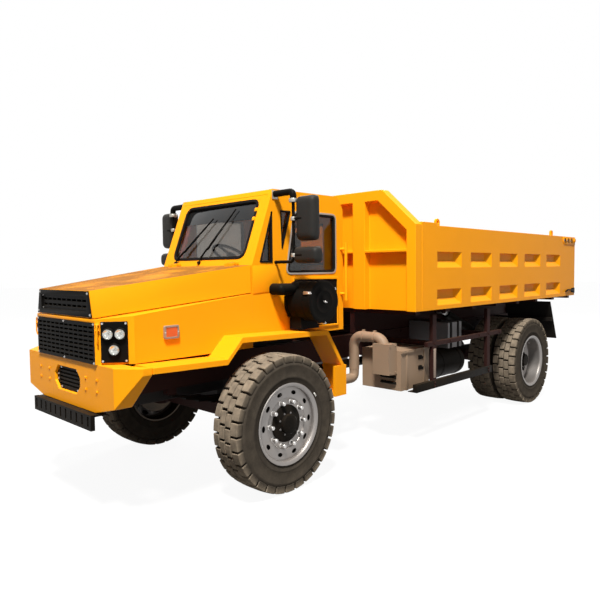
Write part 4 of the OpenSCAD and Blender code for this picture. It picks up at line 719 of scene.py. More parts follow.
class Pattern:
    """A Geometry Nodes tree that repeats a form, with named inputs."""

    def __init__(self, name: str, **inputs: str) -> None:
        """Starts a tree.

        Args:
            name: the tree's name.
            inputs: type of each named size, as in NodeSocketFloat without NodeSocket.
        """
        self.tree = bpy.data.node_groups.new(name, "GeometryNodeTree")
        for label, kind in {"Form": "Geometry", **inputs, "Material": "Material"}.items():
            self.tree.interface.new_socket(label, in_out="INPUT", socket_type="NodeSocket" + kind)
        self.tree.interface.new_socket("Geometry", in_out="OUTPUT", socket_type="NodeSocketGeometry")
        self.graph = Graph(self.tree)
        self.enter = self.graph.node("NodeGroupInput").outputs

    def close(self, points: Socket, form: Socket, turn: object = None) -> "Pattern":
        """Ends the tree in real faces with their material.

        Args:
            points: where the form goes.
            form: what is repeated.
            turn: its rotation, or None.

        Returns:
            The pattern itself.
        """
        node = self.graph.node
        placed = node("GeometryNodeInstanceOnPoints", Points=points, Instance=form)
        if turn is not None:
            self.graph.feed(placed.inputs["Rotation"], turn)
        real = node("GeometryNodeRealizeInstances", placed.outputs[0]).outputs[0]
        paint = node("GeometryNodeSetMaterial", real, Material=self.enter["Material"])
        node("NodeGroupOutput", paint.outputs[0])
        return self

    def run(self, form: bpy.types.Mesh, name: str, slot: Slot, body: str = "chassis", angle: float = CREASE,
            replaces: Sequence[str] = (), **sizes: object) -> bpy.types.Object:
        """Repeats a form and makes the result a piece.

        Args:
            form: the mesh that the tree starts from.
            name: the piece's name.
            slot: its finish and the name of its slot.
            body: the body that carries it.
            angle: edges sharper than this, in degrees, stay crisp.
            replaces: nodes of the part's source that it stands for.
            sizes: values of the tree's named inputs.

        Returns:
            The piece.
        """
        holder = put(name + "_form", form)
        modifier = modify(holder, "pattern", "NODES", node_group=self.tree)
        sizes["Material"] = slot.paint.material
        for item in self.tree.interface.items_tree:
            if item.in_out == "INPUT" and item.name in sizes:
                modifier[item.identifier] = sizes[item.name]
        mesh = evaluated(holder)
        bpy.data.objects.remove(holder)
        mesh.name = name
        return settle(mesh, name, slot, body, angle, replaces)


class Patterns:
    """The repeats that the truck's pieces use."""

    def __init__(self) -> None:
        """Builds each tree once."""
        self.ring = self._ring()
        self.bolts = self._bolts()
        self.row = self._row()

    def _ring(self) -> Pattern:
        """A form repeated round an axis along Y.

        Returns:
            The pattern.
        """
        pattern = Pattern("round_the_axle", Count="Int", Centre="Vector", Start="Float")
        graph, enter = pattern.graph, pattern.enter
        points = graph.node("GeometryNodePoints", Count=enter["Count"], Position=enter["Centre"])
        away = graph.node("ShaderNodeVectorMath", enter["Centre"], operation="SCALE", Scale=-1.0)
        form = graph.node("GeometryNodeTransform", Geometry=enter["Form"], Translation=away.outputs[0])
        step = graph.math("DIVIDE", math.tau, enter["Count"])
        turn = graph.math("MULTIPLY", graph.node("GeometryNodeInputIndex").outputs[0], step)
        spin = graph.node("ShaderNodeCombineXYZ", None, graph.math("ADD", turn, enter["Start"]))
        return pattern.close(points.outputs[0], form.outputs[0], spin.outputs[0])

    def _bolts(self) -> Pattern:
        """A hexagon head on a washer at each point, aimed one way.

        Returns:
            The pattern.
        """
        pattern = Pattern("hexagon_bolts", Radius="Float", Height="Float", Aim="Vector")
        graph, enter = pattern.graph, pattern.enter
        radius, height = enter["Radius"], enter["Height"]
        head = graph.node("GeometryNodeMeshCylinder", Vertices=6, Radius=radius, Depth=height)
        washer = graph.node("GeometryNodeMeshCylinder", Vertices=14, Radius=graph.math("MULTIPLY", radius, 1.45),
                            Depth=graph.math("MULTIPLY", height, 0.3))
        up = graph.node("ShaderNodeCombineXYZ", None, None, graph.math("MULTIPLY", height, 0.5))
        lift = graph.node("GeometryNodeTransform", Geometry=head.outputs[0], Translation=up.outputs[0])
        both = graph.node("GeometryNodeJoinGeometry")
        for part in (lift, washer):
            graph.feed(both.inputs[0], part.outputs[0])
        turn = graph.node("FunctionNodeAlignRotationToVector", axis="Z", Vector=enter["Aim"])
        return pattern.close(enter["Form"], both.outputs[0], turn.outputs[0])

    def _row(self) -> Pattern:
        """A form repeated in a row.

        Returns:
            The pattern.
        """
        pattern = Pattern("form_row", Count="Int", Step="Vector")
        graph, enter = pattern.graph, pattern.enter
        points = graph.node("GeometryNodePoints", Count=enter["Count"])
        index = graph.node("GeometryNodeInputIndex").outputs[0]
        place = graph.node("ShaderNodeVectorMath", enter["Step"], operation="SCALE", Scale=index)
        moved = graph.node("GeometryNodeSetPosition", Geometry=points.outputs[0], Position=place.outputs[0])
        return pattern.close(moved.outputs[0], enter["Form"])


PATTERNS = Patterns()


class Head(Enum):
    """Radius and height of the heads of screws, bolts and rivets."""

    PIN = (0.004, 0.003)
    SMALL = (0.005, 0.005)
    SCREW = (0.006, 0.005)
    CAP = (0.006, 0.006)
    BOX = (0.008, 0.007)
    FACE = (0.009, 0.007)
    HINGE = (0.009, 0.008)
    GUARD = (0.010, 0.008)
    RIVET = (0.011, 0.008)


def bolt_row(name: str, slot: Slot, places: Sequence[Vector], aim: Vector, head: Head,
             body: str = "chassis") -> bpy.types.Object:
    """Sets a hexagon bolt at each place.

    Args:
        name: the piece's name.
        slot: its finish and the name of its slot.
        places: foot of each bolt.
        aim: the bolts' outward direction.
        head: size of their heads.
        body: the body that carries them.

    Returns:
        The piece.
    """
    points = bpy.data.meshes.new(name + "_points")
    points.from_pydata(places, [], [])
    radius, height = head.value
    return PATTERNS.bolts.run(points, name, slot, body, Radius=radius, Height=height, Aim=aim)


def lay_dust(piece: bpy.types.Object, rule: Callable[[Vector], float]) -> None:
    """Writes how much dust lies at each corner of a piece.

    Args:
        piece: the piece.
        rule: gives the share of dust at a point.
    """
    layer = piece.data.attributes.new("dust", "FLOAT", "POINT")
    layer.data.foreach_set("value", [rule(v.co) for v in piece.data.vertices])


@dataclass
class Coats:
    """Finishes of the nodes that stay as the part's source makes them."""

    edge: float = 0.005
    fold: float = 9.0
    turned: float = 35.0
    flat: float = 0.5
    nodes: dict[Paint, str] = field(default_factory=lambda: {
        Paint.BODY: "front_bumper nose_left nose_right cab_front cab_left cab_right cab_back cab_roof door headboard "
                    "bed_left bed_right tailgate",
        Paint.HOOD: "hood",
        Paint.FRAME: "frame front_axle rear_axle side_guards bed_floor knuckle_left knuckle_right",
        Paint.BLACK: "leaf_springs drive_shaft lamp_panels tie_rod hoist_barrels bumper_guard nose_grille "
                     "hood_grille mirrors air_cleaner wipers air_tank",
        Paint.STEEL: "tanks",
        Paint.ENGINE: "engine",
        Paint.SILVER: "wheel_front_left wheel_front_right wheels_rear_left wheels_rear_right",
        Paint.BRIGHT: "hoist_rods",
        Paint.RUBBER: "mud_flaps",
        Paint.TYRE: "tyre_front_left tyre_front_right tyres_rear_left tyres_rear_right",
        Paint.TAUPE: "exhaust_box",
        Paint.PLASTIC: "dashboard steering_wheel",
        Paint.MATT: "cab_floor",
        Paint.CLOTH: "seat",
        Paint.GLASS: "cab_glass door_glass",
        Paint.LENS: "head_lamps",
        Paint.AMBER: "side_markers",
        Paint.RED: "tail_lamps",
    })
    crisp: tuple[Paint, ...] = (Paint.GLASS, Paint.LENS, Paint.TYRE, Paint.CLOTH)
    layered: str = "leaf_springs"

    def dress(self) -> None:
        """Gives each node its material and rounds its edges a little."""
        for paint, names in self.nodes.items():
            for node in names.split():
                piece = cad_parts[node]
                for holder in piece.material_slots:
                    holder.material = paint.material
                if paint not in self.crisp and node != self.layered:
                    self._soften(piece, self.fold if paint is Paint.BODY else self.turned)
                log.info("%s: %s", node, paint.value.name)

    def _soften(self, piece: bpy.types.Object, angle: float) -> None:
        """Rounds the sharp edges of a node.

        Args:
            piece: the node's object.
            angle: edges sharper than this, in degrees, are rounded.
        """
        modify(piece, "weld", "WELD", merge_threshold=1e-5)
        modify(piece, "flat", "DECIMATE", decimate_type="DISSOLVE", angle_limit=math.radians(self.flat))
        modify(piece, "edge", "BEVEL", width=self.edge, segments=2, limit_method="ANGLE",
               angle_limit=math.radians(angle))
        modify(piece, "even", "WEIGHTED_NORMAL", weight=80)


@dataclass
class BlockTyre:
    """One tyre, or two on a twin wheel, with rows of tread blocks."""

    node: str
    body: str
    twin: bool = False
    radius: float = 0.525
    spacing: float = 0.33
    blocks: int = 30
    foot: float = 0.496
    shoulder: float = 0.464
    fall: float = 0.006
    outer_row: Pair = (0.064, 0.1325)
    inner_row: Pair = (0.003, 0.060)
    fill: float = 0.85
    lag: float = 0.72
    edge: float = 0.0045
    carcass_dust: Profile = ((0.495, 0.06), (0.36, 0.18), (0.0, 0.10))
    block_dust: Profile = ((0.513, 0.82), (0.0, 0.12))
    half_profile: Profile = (
        (0.286, 0.100), (0.294, 0.116), (0.306, 0.122), (0.322, 0.1255), (0.345, 0.129), (0.350, 0.1318),
        (0.358, 0.1318), (0.363, 0.130), (0.400, 0.1338), (0.436, 0.1335), (0.441, 0.1348), (0.450, 0.1345),
        (0.462, 0.130), (0.476, 0.124), (0.490, 0.117), (0.500, 0.105), (0.502, 0.06), (0.502, 0.0))

    def build(self) -> None:
        """Makes the carcass and the blocks, with the dust that lies on them."""
        middle = middle_of(self.node)
        centres = [middle + Y * (self.spacing * o) for o in ((-0.5, 0.5) if self.twin else (0.0,))]
        profile = [*self.half_profile, *((r, -y) for r, y in reversed(self.half_profile[:-1]))]
        carcass, pitch = Shape(), Shape()
        step = math.pi / self.blocks
        top, foot, reach = self.radius, self.foot, step * self.fill
        (a, b), (c, d) = self.outer_row, self.inner_row
        for centre in centres:
            carcass.lathe(profile, centre, Y, 90, ring=True)
            for side, turn in ((1.0, step), (-1.0, step * self.lag)):
                self._block(pitch, centre, side, 0.0, reach, (a, foot, top), (b, self.shoulder, top - self.fall))
                self._block(pitch, centre, side, turn, reach, (c, foot, top), (d, foot, top))

        def dust(levels: Profile) -> Callable[[Vector], float]:
            """Gives the dust at a point by its distance from the axle."""
            return lambda p: next(share for r, share in levels if math.hypot(p.x - middle.x, p.z - middle.z) > r)

        piece = carcass.finish(self.node + "_carcass", TYRE, self.body, angle=50.0, replaces=[self.node])
        lay_dust(piece, dust(self.carcass_dust))
        form = pitch.mesh(self.node + "_pitch", self.edge)
        ring = PATTERNS.ring.run(form, self.node + "_blocks", TYRE, self.body, replaces=[self.node],
                                 Count=self.blocks, Centre=middle, Start=0.0)
        lay_dust(ring, dust(self.block_dust))

    @staticmethod
    def _block(shape: Shape, centre: Vector, side: float, turn: float, reach: float, inner: Place,
               outer: Place) -> None:
        """Adds one block.

        Args:
            shape: what it joins.
            centre: middle of the tyre.
            side: 1 for the tyre's left half, -1 for its right.
            turn: angle of its middle.
            reach: half of its angle.
            inner: its inner edge: distance from the tyre's middle, radius of its foot and of its top.
            outer: the same for its outer edge.
        """
        (a, low_a, top_a), (b, low_b, top_b) = inner, outer
        corners, loops = ((a, low_a), (b, low_b), (b, top_b), (a, top_a)), []
        for share in (-1.0, -0.35, 0.35, 1.0):
            angle = turn + share * reach
            ray = Vector((math.sin(angle), 0.0, math.cos(angle)))
            loops.append([centre + ray * r + Y * (side * y) for y, r in corners])
        shape.loft(loops)


@dataclass
class WheelTrim:
    """Rim lip, valve, nuts and hub of one wheel, over the part's own wheel."""

    tyre: str
    name: str
    body: str
    side: float
    lip_at: float = 0.0
    face: float = 0.085
    # How far behind the face the matt black ring of painted shade sits.
    shade: float = 0.010
    dished: bool = True
    hub: Profile = (
        (0.143, -0.001), (0.143, 0.010), (0.137, 0.014), (0.112, 0.014), (0.104, 0.018), (0.0955, 0.019),
        (0.091, 0.0215), (0.0735, 0.0215), (0.0735, 0.049), (0.067, 0.0545), (0.030, 0.0555), (0.0, 0.0555))
    nuts: int = 10
    nut_ring: float = 0.168
    nut: Profile = ((0.021, 0.0), (0.021, 0.006), (0.0165, 0.010), (0.0165, 0.040), (0.013, 0.046), (0.0, 0.048))
    flange: Profile = (
        (0.2005, 0.0145), (0.194, 0.013), (0.190, 0.004), (0.186, 0.002), (0.143, 0.002), (0.143, -0.004),
        (0.2005, -0.004))
    cap_ring: float = 0.083
    cap_face: float = 0.0215
    lip: Profile = (
        (0.290, 0.102), (0.292, 0.116), (0.304, 0.1225), (0.311, 0.127), (0.3125, 0.1305), (0.309, 0.1338),
        (0.300, 0.1335), (0.288, 0.128), (0.279, 0.119), (0.2765, 0.108), (0.2765, 0.098))
    valve: Profile = ((0.232, 0.062), (0.226, 0.118))
    # Section of the ring of painted shade behind the hand holes.
    dark: Profile = ((0.206, 0.0), (0.2745, 0.0), (0.2745, 0.005), (0.206, 0.005))
    crisp: float = 40.0

    def build(self) -> None:
        """Makes the lip with its valve, the nuts, the hub and its bolts."""
        middle, out = middle_of(self.tyre), Y * self.side
        centre, rim = middle + out * self.face, middle + out * self.lip_at
        lip = Shape().lathe(self.lip, rim, out, 96, ring=True)
        lip.tube([middle + out * (self.lip_at + rise) + Z * r + X * 0.06 for r, rise in self.valve], 0.006, 8)
        self._finish(lip, "_lip", SILVER)
        # Painted shade: a matt black ring behind the disc, so the hand holes look dark.
        shade = Shape().lathe(self.dark, middle + out * (self.face - self.shade), out, 64, ring=True)
        shade.finish(self.name + "_shade", MATT, self.body)
        self._finish(Shape().lathe(self.hub, centre, out, 56), "_hub", BLACK, bevel=0.0015)
        self._repeat(Shape().lathe(self.nut, centre + Z * self.nut_ring, out, 20), "_nuts", BRIGHT, centre)
        if self.dished:
            self._dish(centre, out)
        caps = circle(middle + out * (self.face + self.cap_face), X, Z, self.cap_ring, 8, 0.5)
        bolt_row(self.name + "_cap_bolts", STEEL, caps, out, Head.CAP, self.body)

    def _finish(self, shape: Shape, suffix: str, slot: Slot, bevel: float = 0.0) -> None:
        """Makes a turned shape a piece of the wheel."""
        shape.finish(self.name + suffix, slot, self.body, bevel=bevel, angle=self.crisp)

    def _repeat(self, shape: Shape, suffix: str, slot: Slot, centre: Vector) -> None:
        """Repeats a form round the axle, once for each nut.

        Args:
            shape: the form.
            suffix: end of the piece's name.
            slot: its finish and the name of its slot.
            centre: a point on the axle.
        """
        name = self.name + suffix
        PATTERNS.ring.run(shape.mesh(name), name, slot, self.body, self.crisp, Count=self.nuts, Centre=centre,
                          Start=math.pi / self.nuts)

    def _dish(self, centre: Vector, out: Vector) -> None:
        """The pressed ring with hand holes and the flange under the nuts.

        Args:
            centre: middle of the wheel's face.
            out: outward direction.
        """
        low, high, tall, wide = 0.200, 0.2762, 0.016, 0.025
        half, mid, steps = math.pi / self.nuts, (low + high) / 2, 8
        corners = [(-half, low), (half, low), (half, high), (-half, high)]
        outer, hole = [], []
        for start, end in zip(corners, corners[1:] + corners[:1]):
            for k in range(steps):
                turn, reach = (a + (b - a) * k / steps for a, b in zip(start, end))
                aim = math.atan2((reach - mid) / (high - mid), turn / half)
                edge = (wide * math.cos(aim) / mid, mid + tall * math.sin(aim))
                for loop, (spin, r) in ((outer, (turn, reach)), (hole, edge)):
                    loop.append(centre + out * 0.010 + X * (r * math.sin(spin)) + Z * (r * math.cos(spin)))
        self._repeat(Shape().frame(outer, hole, out * 0.004), "_dish", SILVER, centre)
        self._finish(Shape().lathe(self.flange, centre, out, 64, ring=True), "_flange", SILVER)


REAR_HUB: Profile = (
    (0.143, -0.001), (0.143, 0.010), (0.137, 0.014), (0.112, 0.014), (0.104, 0.020), (0.0955, 0.022), (0.0955, 0.105),
    (0.091, 0.108), (0.0735, 0.108), (0.0735, 0.136), (0.067, 0.1415), (0.0, 0.1415))


def mark_tyre() -> None:
    """Paints the short mark on the front left tyre, along a run at the end of a ray from the axle."""
    ray, run = Vector((-0.845, 0.0, 0.535)), Vector((-0.535, 0.0, -0.845))
    hub = middle_of("tyre_front_left") + Y * 0.1265
    corners = ((0.329, -0.018), (0.329, 0.018), (0.340, 0.018), (0.340, -0.018))
    mark = Shape().prism([hub + ray * r + run * s for r, s in corners], Y * 0.0035)
    mark.finish("tyre_mark", Slot(Paint.MARK, "plastic"), "wheel_fl", bevel=0.0005)


@dataclass
class NoseFittings:
    """Lamps, grille screws, latches and markers of the nose and bumper."""

    corner: Pair = (1.151, 0.551)
    turn: float = math.atan2(0.202, 0.162)
    lamps: Profile = ((-0.039, 1.2758), (0.039, 1.2758), (0.0, 1.1717))
    lamp_radius: float = 0.036
    bowl: Profile = ((0.0, 0.002), (0.35, 0.003), (0.7, 0.008), (0.93, 0.018), (0.97, 0.018), (0.97, 0.0), (0.0, 0.0))
    bulb: Profile = ((0.0, 0.004), (0.006, 0.004), (0.006, 0.013), (0.003, 0.016), (0.0, 0.016))
    lens: Profile = ((0.0, 0.0215), (0.5, 0.0210), (0.93, 0.0188), (0.93, 0.0172), (0.5, 0.0190), (0.0, 0.0195))
    rim: Profile = ((0.93, -0.001), (1.17, -0.001), (1.17, 0.014), (1.08, 0.021), (0.96, 0.0215), (0.93, 0.019))
    panel_out: float = 0.014
    panel_half: float = 0.088
    panel_ends: Pair = (1.084, 1.358)
    screw_in: float = 0.012
    latch_across: float = -0.108
    latch_path: Profile = ((0.004, 1.345), (0.020, 1.330), (0.022, 1.230), (0.012, 1.205))
    marker: Pair = (0.770, 1.262)
    marker_half: Pair = (0.056, 0.043)
    bezel: float = 0.019
    side_y: float = 0.632
    nose_x: float = 1.252
    bumper_x: float = 1.240
    sheet: float = 0.004
    wire: float = 0.003
    wire_step: float = 0.009

    def build(self) -> None:
        """Makes all fittings of both sides."""
        for name, side in SIDES:
            self._lamps(name, side)
            self._marker(name, side)
            self._latch(name, side)
        self._screws()
        self._border()
        self._backing()
        rail = Shape().box(at(self.nose_x - 0.037, -0.470, 1.350), at(self.nose_x + 0.001, 0.470, 1.374))
        rail.finish("nose_rail", BODY, bevel=0.003)

    def _on_corner(self, side: float, out: float, by: float, z: float) -> Vector:
        """A point on the slanted corner of a side, out from it and by so much across it."""
        c, s = math.cos(self.turn), math.sin(self.turn)
        return at(self.corner[0] + out * c - by * s, side * (self.corner[1] + out * s + by * c), z)

    def _aim(self, side: float) -> Vector:
        """The outward direction of a side's slanted corner."""
        return (self._on_corner(side, 1.0, 0.0, 0.0) - self._on_corner(side, 0.0, 0.0, 0.0)).normalized()

    def _lamps(self, name: str, side: float) -> None:
        """Reflectors, lenses and rims of one side's three lamps, and the screws of their panel.

        Args:
            name: left or right.
            side: 1 for the left, -1 for the right.
        """
        aim, r = self._aim(side), self.lamp_radius
        bowls, lenses, rims = Shape(), Shape(), Shape()
        for by, z in self.lamps:
            foot = self._on_corner(side, self.panel_out, by, z)
            bowl, lens, rim = ([(r * share, rise) for share, rise in p] for p in (self.bowl, self.lens, self.rim))
            bowls.lathe(bowl, foot, aim, 36).lathe(self.bulb, foot, aim, 12)
            lenses.lathe(lens, foot, aim, 36)
            rims.lathe(rim, foot, aim, 40, ring=True)
        lamps = ["head_lamps"]
        bowls.finish(f"lamp_bowls_{name}", Slot(Paint.REFLECTOR, "lens"), angle=45.0, replaces=lamps)
        lenses.finish(f"lamp_lenses_{name}", Slot(Paint.LENS, "lens"), angle=60.0, replaces=lamps)
        rims.finish(f"lamp_rims_{name}", BLACK, bevel=0.001, replaces=lamps)
        edge, (low, high) = self.panel_half - self.screw_in, self.panel_ends
        corners = product((-edge, edge), (low + self.screw_in, high - self.screw_in))
        places = [self._on_corner(side, self.panel_out, by, z) for by, z in corners]
        bolt_row(f"lamp_panel_screws_{name}", BRIGHT, places, aim, Head.SMALL)

    def _marker(self, name: str, side: float) -> None:
        """Bezel of the side marker, with its two screws.

        Args:
            name: left or right.
            side: 1 for the left, -1 for the right.
        """
        (x, z), (a, b), y, out = self.marker, self.marker_half, side * self.side_y, Y * side
        corners = along(y, *((x + i * (a + 0.004), z + k * (b + 0.004)) for i, k in CORNERS))
        outer = rounded(facing(corners, out), 0.014, closed=True, steps=4)
        bezel = Shape().frame(outer, inset(outer, 0.014, out), Y * (side * self.bezel))
        bezel.finish(f"marker_bezel_{name}", STRIPE, bevel=0.002)
        screws = along(y + side * self.bezel, *((x + i * (a - 0.003), z) for i in (1, -1)))
        bolt_row(f"marker_screws_{name}", BRIGHT, screws, out, Head.PIN)

    def _latch(self, name: str, side: float) -> None:
        """The hood's pull latch, on the slanted corner beside the lamp panel.

        Args:
            name: left or right.
            side: 1 for the left, -1 for the right.
        """
        aim, a = self._aim(side), self.latch_across
        plate = oblong(0.013, 1.285, 1.352)
        loop = [self._on_corner(side, 0.0, a + by, z) for by, z in plate]
        latch = Shape().prism(facing(loop, aim), aim * 0.006)
        latch.tube([self._on_corner(side, out, a, z) for out, z in self.latch_path], 0.0055, 10, 0.015)
        for z in (1.300, 1.338):
            latch.tube([self._on_corner(side, 0.012, a + by, z) for by in (-0.012, 0.012)], 0.006, 10)
        latch.finish(f"hood_latch_{name}", BODY, bevel=0.001)

    def _screws(self) -> None:
        """Screws of the three grilles and of the bumper's face."""
        guard = ((-0.185, 0.90), (-0.185, 0.935), (0.185, 0.90), (0.185, 0.935), (-0.13, 0.845), (0.13, 0.845),
                 (-0.13, 0.99), (0.13, 0.99))
        for name, body, x, places in (
            ("hood_grille", "hood", self.nose_x - 0.008, product((-0.366, 0.366), (1.424, 1.519))),
            ("nose_grille", "chassis", self.nose_x, product((-0.456, 0.0, 0.456), (1.080, 1.340))),
            ("bumper_grille", "chassis", self.bumper_x - 0.020, guard),
        ):
            bolt_row(name + "_screws", BRIGHT, across(x, *places), X, Head.SCREW, body)
        face = across(self.bumper_x, *product((0.30, 0.46, -0.30, -0.46), (0.885, 0.965)))
        bolt_row("bumper_bolts", BODY, face, X, Head.FACE)

    def _border(self) -> None:
        """The upper grille's black sheet border, over the hood's whole front."""
        x = self.nose_x
        outer = across(x, (-0.447, 1.384), (0.447, 1.384), (0.407, 1.559), (-0.407, 1.559))
        inner = across(x, *oblong(0.372, 1.420, 1.523))
        liner = across(x, *oblong(0.3775, 1.4145, 1.5285))
        border = Shape().frame(outer, inner, X * self.sheet).frame(liner, inner, X * -0.0085)
        border.finish("hood_grille_border", BLACK, "hood", bevel=0.001)
        corners = across(x + self.sheet, (-0.425, 1.400), (0.425, 1.400), (0.392, 1.543), (-0.392, 1.543))
        bolt_row("hood_border_screws", BRIGHT, corners, X, Head.SCREW, "hood")

    def _backing(self) -> None:
        """Dark fine mesh behind the slots of the two nose grilles, a matt black sheet of painted shade inside the
        bumper grille's slots, and the bumper's shelf.
        """
        for name, body, x, half, low, top in (
            ("hood_mesh", "hood", self.nose_x - 0.030, 0.376, 1.416, 1.527),
            ("nose_mesh", "chassis", self.nose_x - 0.022, 0.466, 1.074, 1.344),
        ):
            bar = Shape().box(at(x - self.wire, -half, low), at(x, half, low + self.wire)).mesh(name + "_bar")
            PATTERNS.row.run(bar, name + "_wires", MATT, body, Count=int((top - low) / self.wire_step),
                             Step=(0.0, 0.0, self.wire_step))
            back = Shape().box(at(x - 0.012, -half, low), at(x - 0.006, half, top))
            back.finish(name + "_back", MATT, body, bevel=0.001)
        # Painted shade: a matt black sheet inside the bumper grille, seen through its slots.
        shade = Shape().box(at(1.2003, -0.170, 0.858), at(1.2060, 0.170, 0.978))
        shade.finish("bumper_grille_painted_shade", MATT, bevel=0.001)
        shelf = Shape().box(at(1.180, -0.468, 0.722), at(1.267, 0.468, 0.736))
        shelf.finish("guard_shelf", BLACK, bevel=0.002)


@dataclass(frozen=True)
class Moulding:
    """Section of a flat moulding round an opening."""

    slot: Slot
    grow: float
    width: float
    bend: float
    back: float
    front: float

    def lay(self, name: str, corners: Sequence[Vector], normal: Vector, body: str = "chassis") -> None:
        """Lays it round an opening.

        Args:
            name: the piece's name.
            corners: corners of the opening, on the wall's outer face.
            normal: outward direction.
            body: the body that carries it.
        """
        outer = inset(rounded(facing(corners, normal), self.bend, closed=True), -self.grow, normal)
        inner = inset(outer, self.width, normal)
        deep = ([p - normal * self.back for p in loop] for loop in (outer, inner))
        Shape().frame(*deep, normal * (self.back + self.front)).finish(name, self.slot, body, bevel=0.003)


@dataclass
class CabTrim:
    """Window surrounds, wipers, handle and inside fittings of the cab."""

    screen_x: float = 0.010
    screen_z: float = 1.728
    slope: float = -0.235 / 0.619
    foot: float = 1.7838
    head: float = 2.2725
    screen_half: float = 0.510
    screen_bend: float = 0.085
    band: float = 0.16
    side_y: float = 0.632
    wipers: tuple[Place, ...] = ((-0.438, 43.0, 0.57), (-0.080, 33.0, 0.58))
    pivot: Profile = ((0.0, -0.002), (0.016, -0.002), (0.016, 0.012), (0.011, 0.020), (0.0, 0.020))
    dial: Profile = ((0.0, -0.001), (0.034, -0.001), (0.034, 0.004), (0.030, 0.006), (0.029, 0.003), (0.0, 0.003))
    knob: Profile = ((0.0, 0.0), (0.016, 0.004), (0.026, 0.022), (0.024, 0.044), (0.012, 0.056), (0.0, 0.058))
    boot: Profile = ((0.055, 0.0), (0.050, 0.02), (0.038, 0.035), (0.042, 0.05), (0.026, 0.065), (0.012, 0.085),
                     (0.0, 0.086))

    def build(self) -> None:
        """Makes everything on and in the cab but the seat."""
        self._screen()
        self._sides()
        self._wipers()
        self._bay()
        self._handle()
        self._inside()

    @property
    def out(self) -> Vector:
        """The windscreen's outward direction."""
        return Vector((1.0, 0.0, -self.slope)).normalized()

    def on_screen(self, out: float, *places: Pair) -> list[Vector]:
        """Points on the windscreen's outer face, each by its y and z, moved outwards."""
        return [at(self.screen_x + (z - self.screen_z) * self.slope, y, z) + self.out * out for y, z in places]

    def _screen(self) -> None:
        """Rubber round the windscreen, the tinted band, a trim and the rear window's rubber."""
        foot, head, half = self.foot, self.head, self.screen_half
        corners = self.on_screen(0.0, *oblong(half, foot, head))
        Moulding(RUBBER, 0.005, 0.025, self.screen_bend, 0.018, 0.006).lay("screen_rubber", corners, self.out)
        self._gussets(facing(corners, self.out))
        band = Shape().prism(self.on_screen(-0.0165, *oblong(half, head - self.band, head)), self.out * 0.0015)
        band.finish("screen_band", Slot(Paint.TINT, "glass"), bevel=0.0005)
        low, top = foot + 0.03, head - 0.12
        strip = self.on_screen(-0.050, (-0.492, low), (-0.425, low), (-0.435, top), (-0.492, top))
        Shape().prism(strip, self.out * 0.012).finish("pillar_trim", Slot(Paint.STRIP, "plastic"), bevel=0.004)
        rear = across(-1.100, *oblong(0.42, 1.728, 2.120))
        Moulding(RUBBER, 0.010, 0.032, 0.05, 0.018, 0.006).lay("rear_window_rubber", rear, -X)

    def _gussets(self, loop: Sequence[Vector], steps: int = 5) -> None:
        """Painted corners that round the windscreen's opening, and two tabs beside it.

        Args:
            loop: corners of the opening.
            steps: points in a bend.
        """
        arcs = rounded(loop, self.screen_bend, closed=True, steps=steps)
        gussets, tabs = Shape(), Shape()
        for i, corner in enumerate(loop):
            arc = arcs[i * (steps + 1):(i + 1) * (steps + 1)]
            gussets.prism([p - self.out * 0.016 for p in [corner, *reversed(arc)]], self.out * 0.015)
        gussets.finish("screen_gussets", BODY)
        for top in (self.head - 0.075, self.head - 0.150):
            low = top - 0.030
            tab = self.on_screen(-0.004, (0.486, low), (0.516, low), (0.516, top), (0.486, top))
            tabs.prism(facing(tab, self.out), self.out * 0.014)
        tabs.finish("screen_tabs", BODY, bevel=0.002)

    def _sides(self) -> None:
        """Rubbers and alloy frames of the side windows, and of the door's."""
        y = self.side_y
        quarter, light = (Moulding(RUBBER, 0.004, width, 0.008, 0.018, 0.004) for width in (0.014, 0.012))
        alloy = Moulding(ALLOY, 0.012, 0.016, 0.05, 0.010, 0.005)
        rubber = Moulding(RUBBER, -0.004, 0.020, 0.045, 0.018, 0.003)
        for name, side in SIDES:
            vent = along(side * y, (-0.075, 1.7504), (-0.208, 2.165), (-0.208, 1.7504))
            quarter.lay(f"quarter_rubber_{name}", vent, Y * side)
        window = along(y, (-0.372, 1.658), (-0.467, 2.176), (-0.995, 2.176), (-0.995, 1.658))
        alloy.lay("window_alloy_left", window, Y)
        rubber.lay("window_rubber_left", window, Y)
        light.lay("light_rubber_left", along(y, (-0.308, 2.176), (-0.4195, 2.176), (-0.322, 1.861)), Y)
        pane = along(-y, (-0.338, 1.658), (-0.338, 2.1942), (-0.959, 2.1942), (-0.959, 1.658))
        alloy.lay("window_alloy_door", pane, -Y, "door")
        rubber.lay("window_rubber_door", pane, -Y, "door")

    def _wipers(self) -> None:
        """Two arms with their blades, pivots and springs."""
        up = Vector((self.slope, 0.0, 1.0)).normalized()
        arms, rubbers, out = Shape(), Shape(), self.out
        for y, lean, length in self.wipers:
            foot, = self.on_screen(0.0, (y, self.foot - 0.030))
            ray = (up * math.cos(math.radians(lean)) + Y * math.sin(math.radians(lean))).normalized()
            arms.lathe(self.pivot, foot, out, 18)
            bends = ((0.014, 0.0), (0.018, 0.10), (0.016, length * 0.62))
            arms.tube([foot + out * o + ray * r for o, r in bends], 0.0055, 8)
            arms.tube([foot + out * 0.020 + ray * r for r in (0.05, 0.15)], 0.0085, 10)
            start, end = (foot + out * 0.010 + ray * (length * share) for share in (0.24, 1.0))
            arms.tube([start, (start + end) / 2 + out * 0.006, end], 0.0045, 8)
            rubbers.tube([start - out * 0.005, end - out * 0.005], 0.0035, 6)
        arms.finish("wiper_arms", BLACK, bevel=0.0008, replaces=["wipers"])
        rubbers.finish("wiper_blades", RUBBER, replaces=["wipers"])

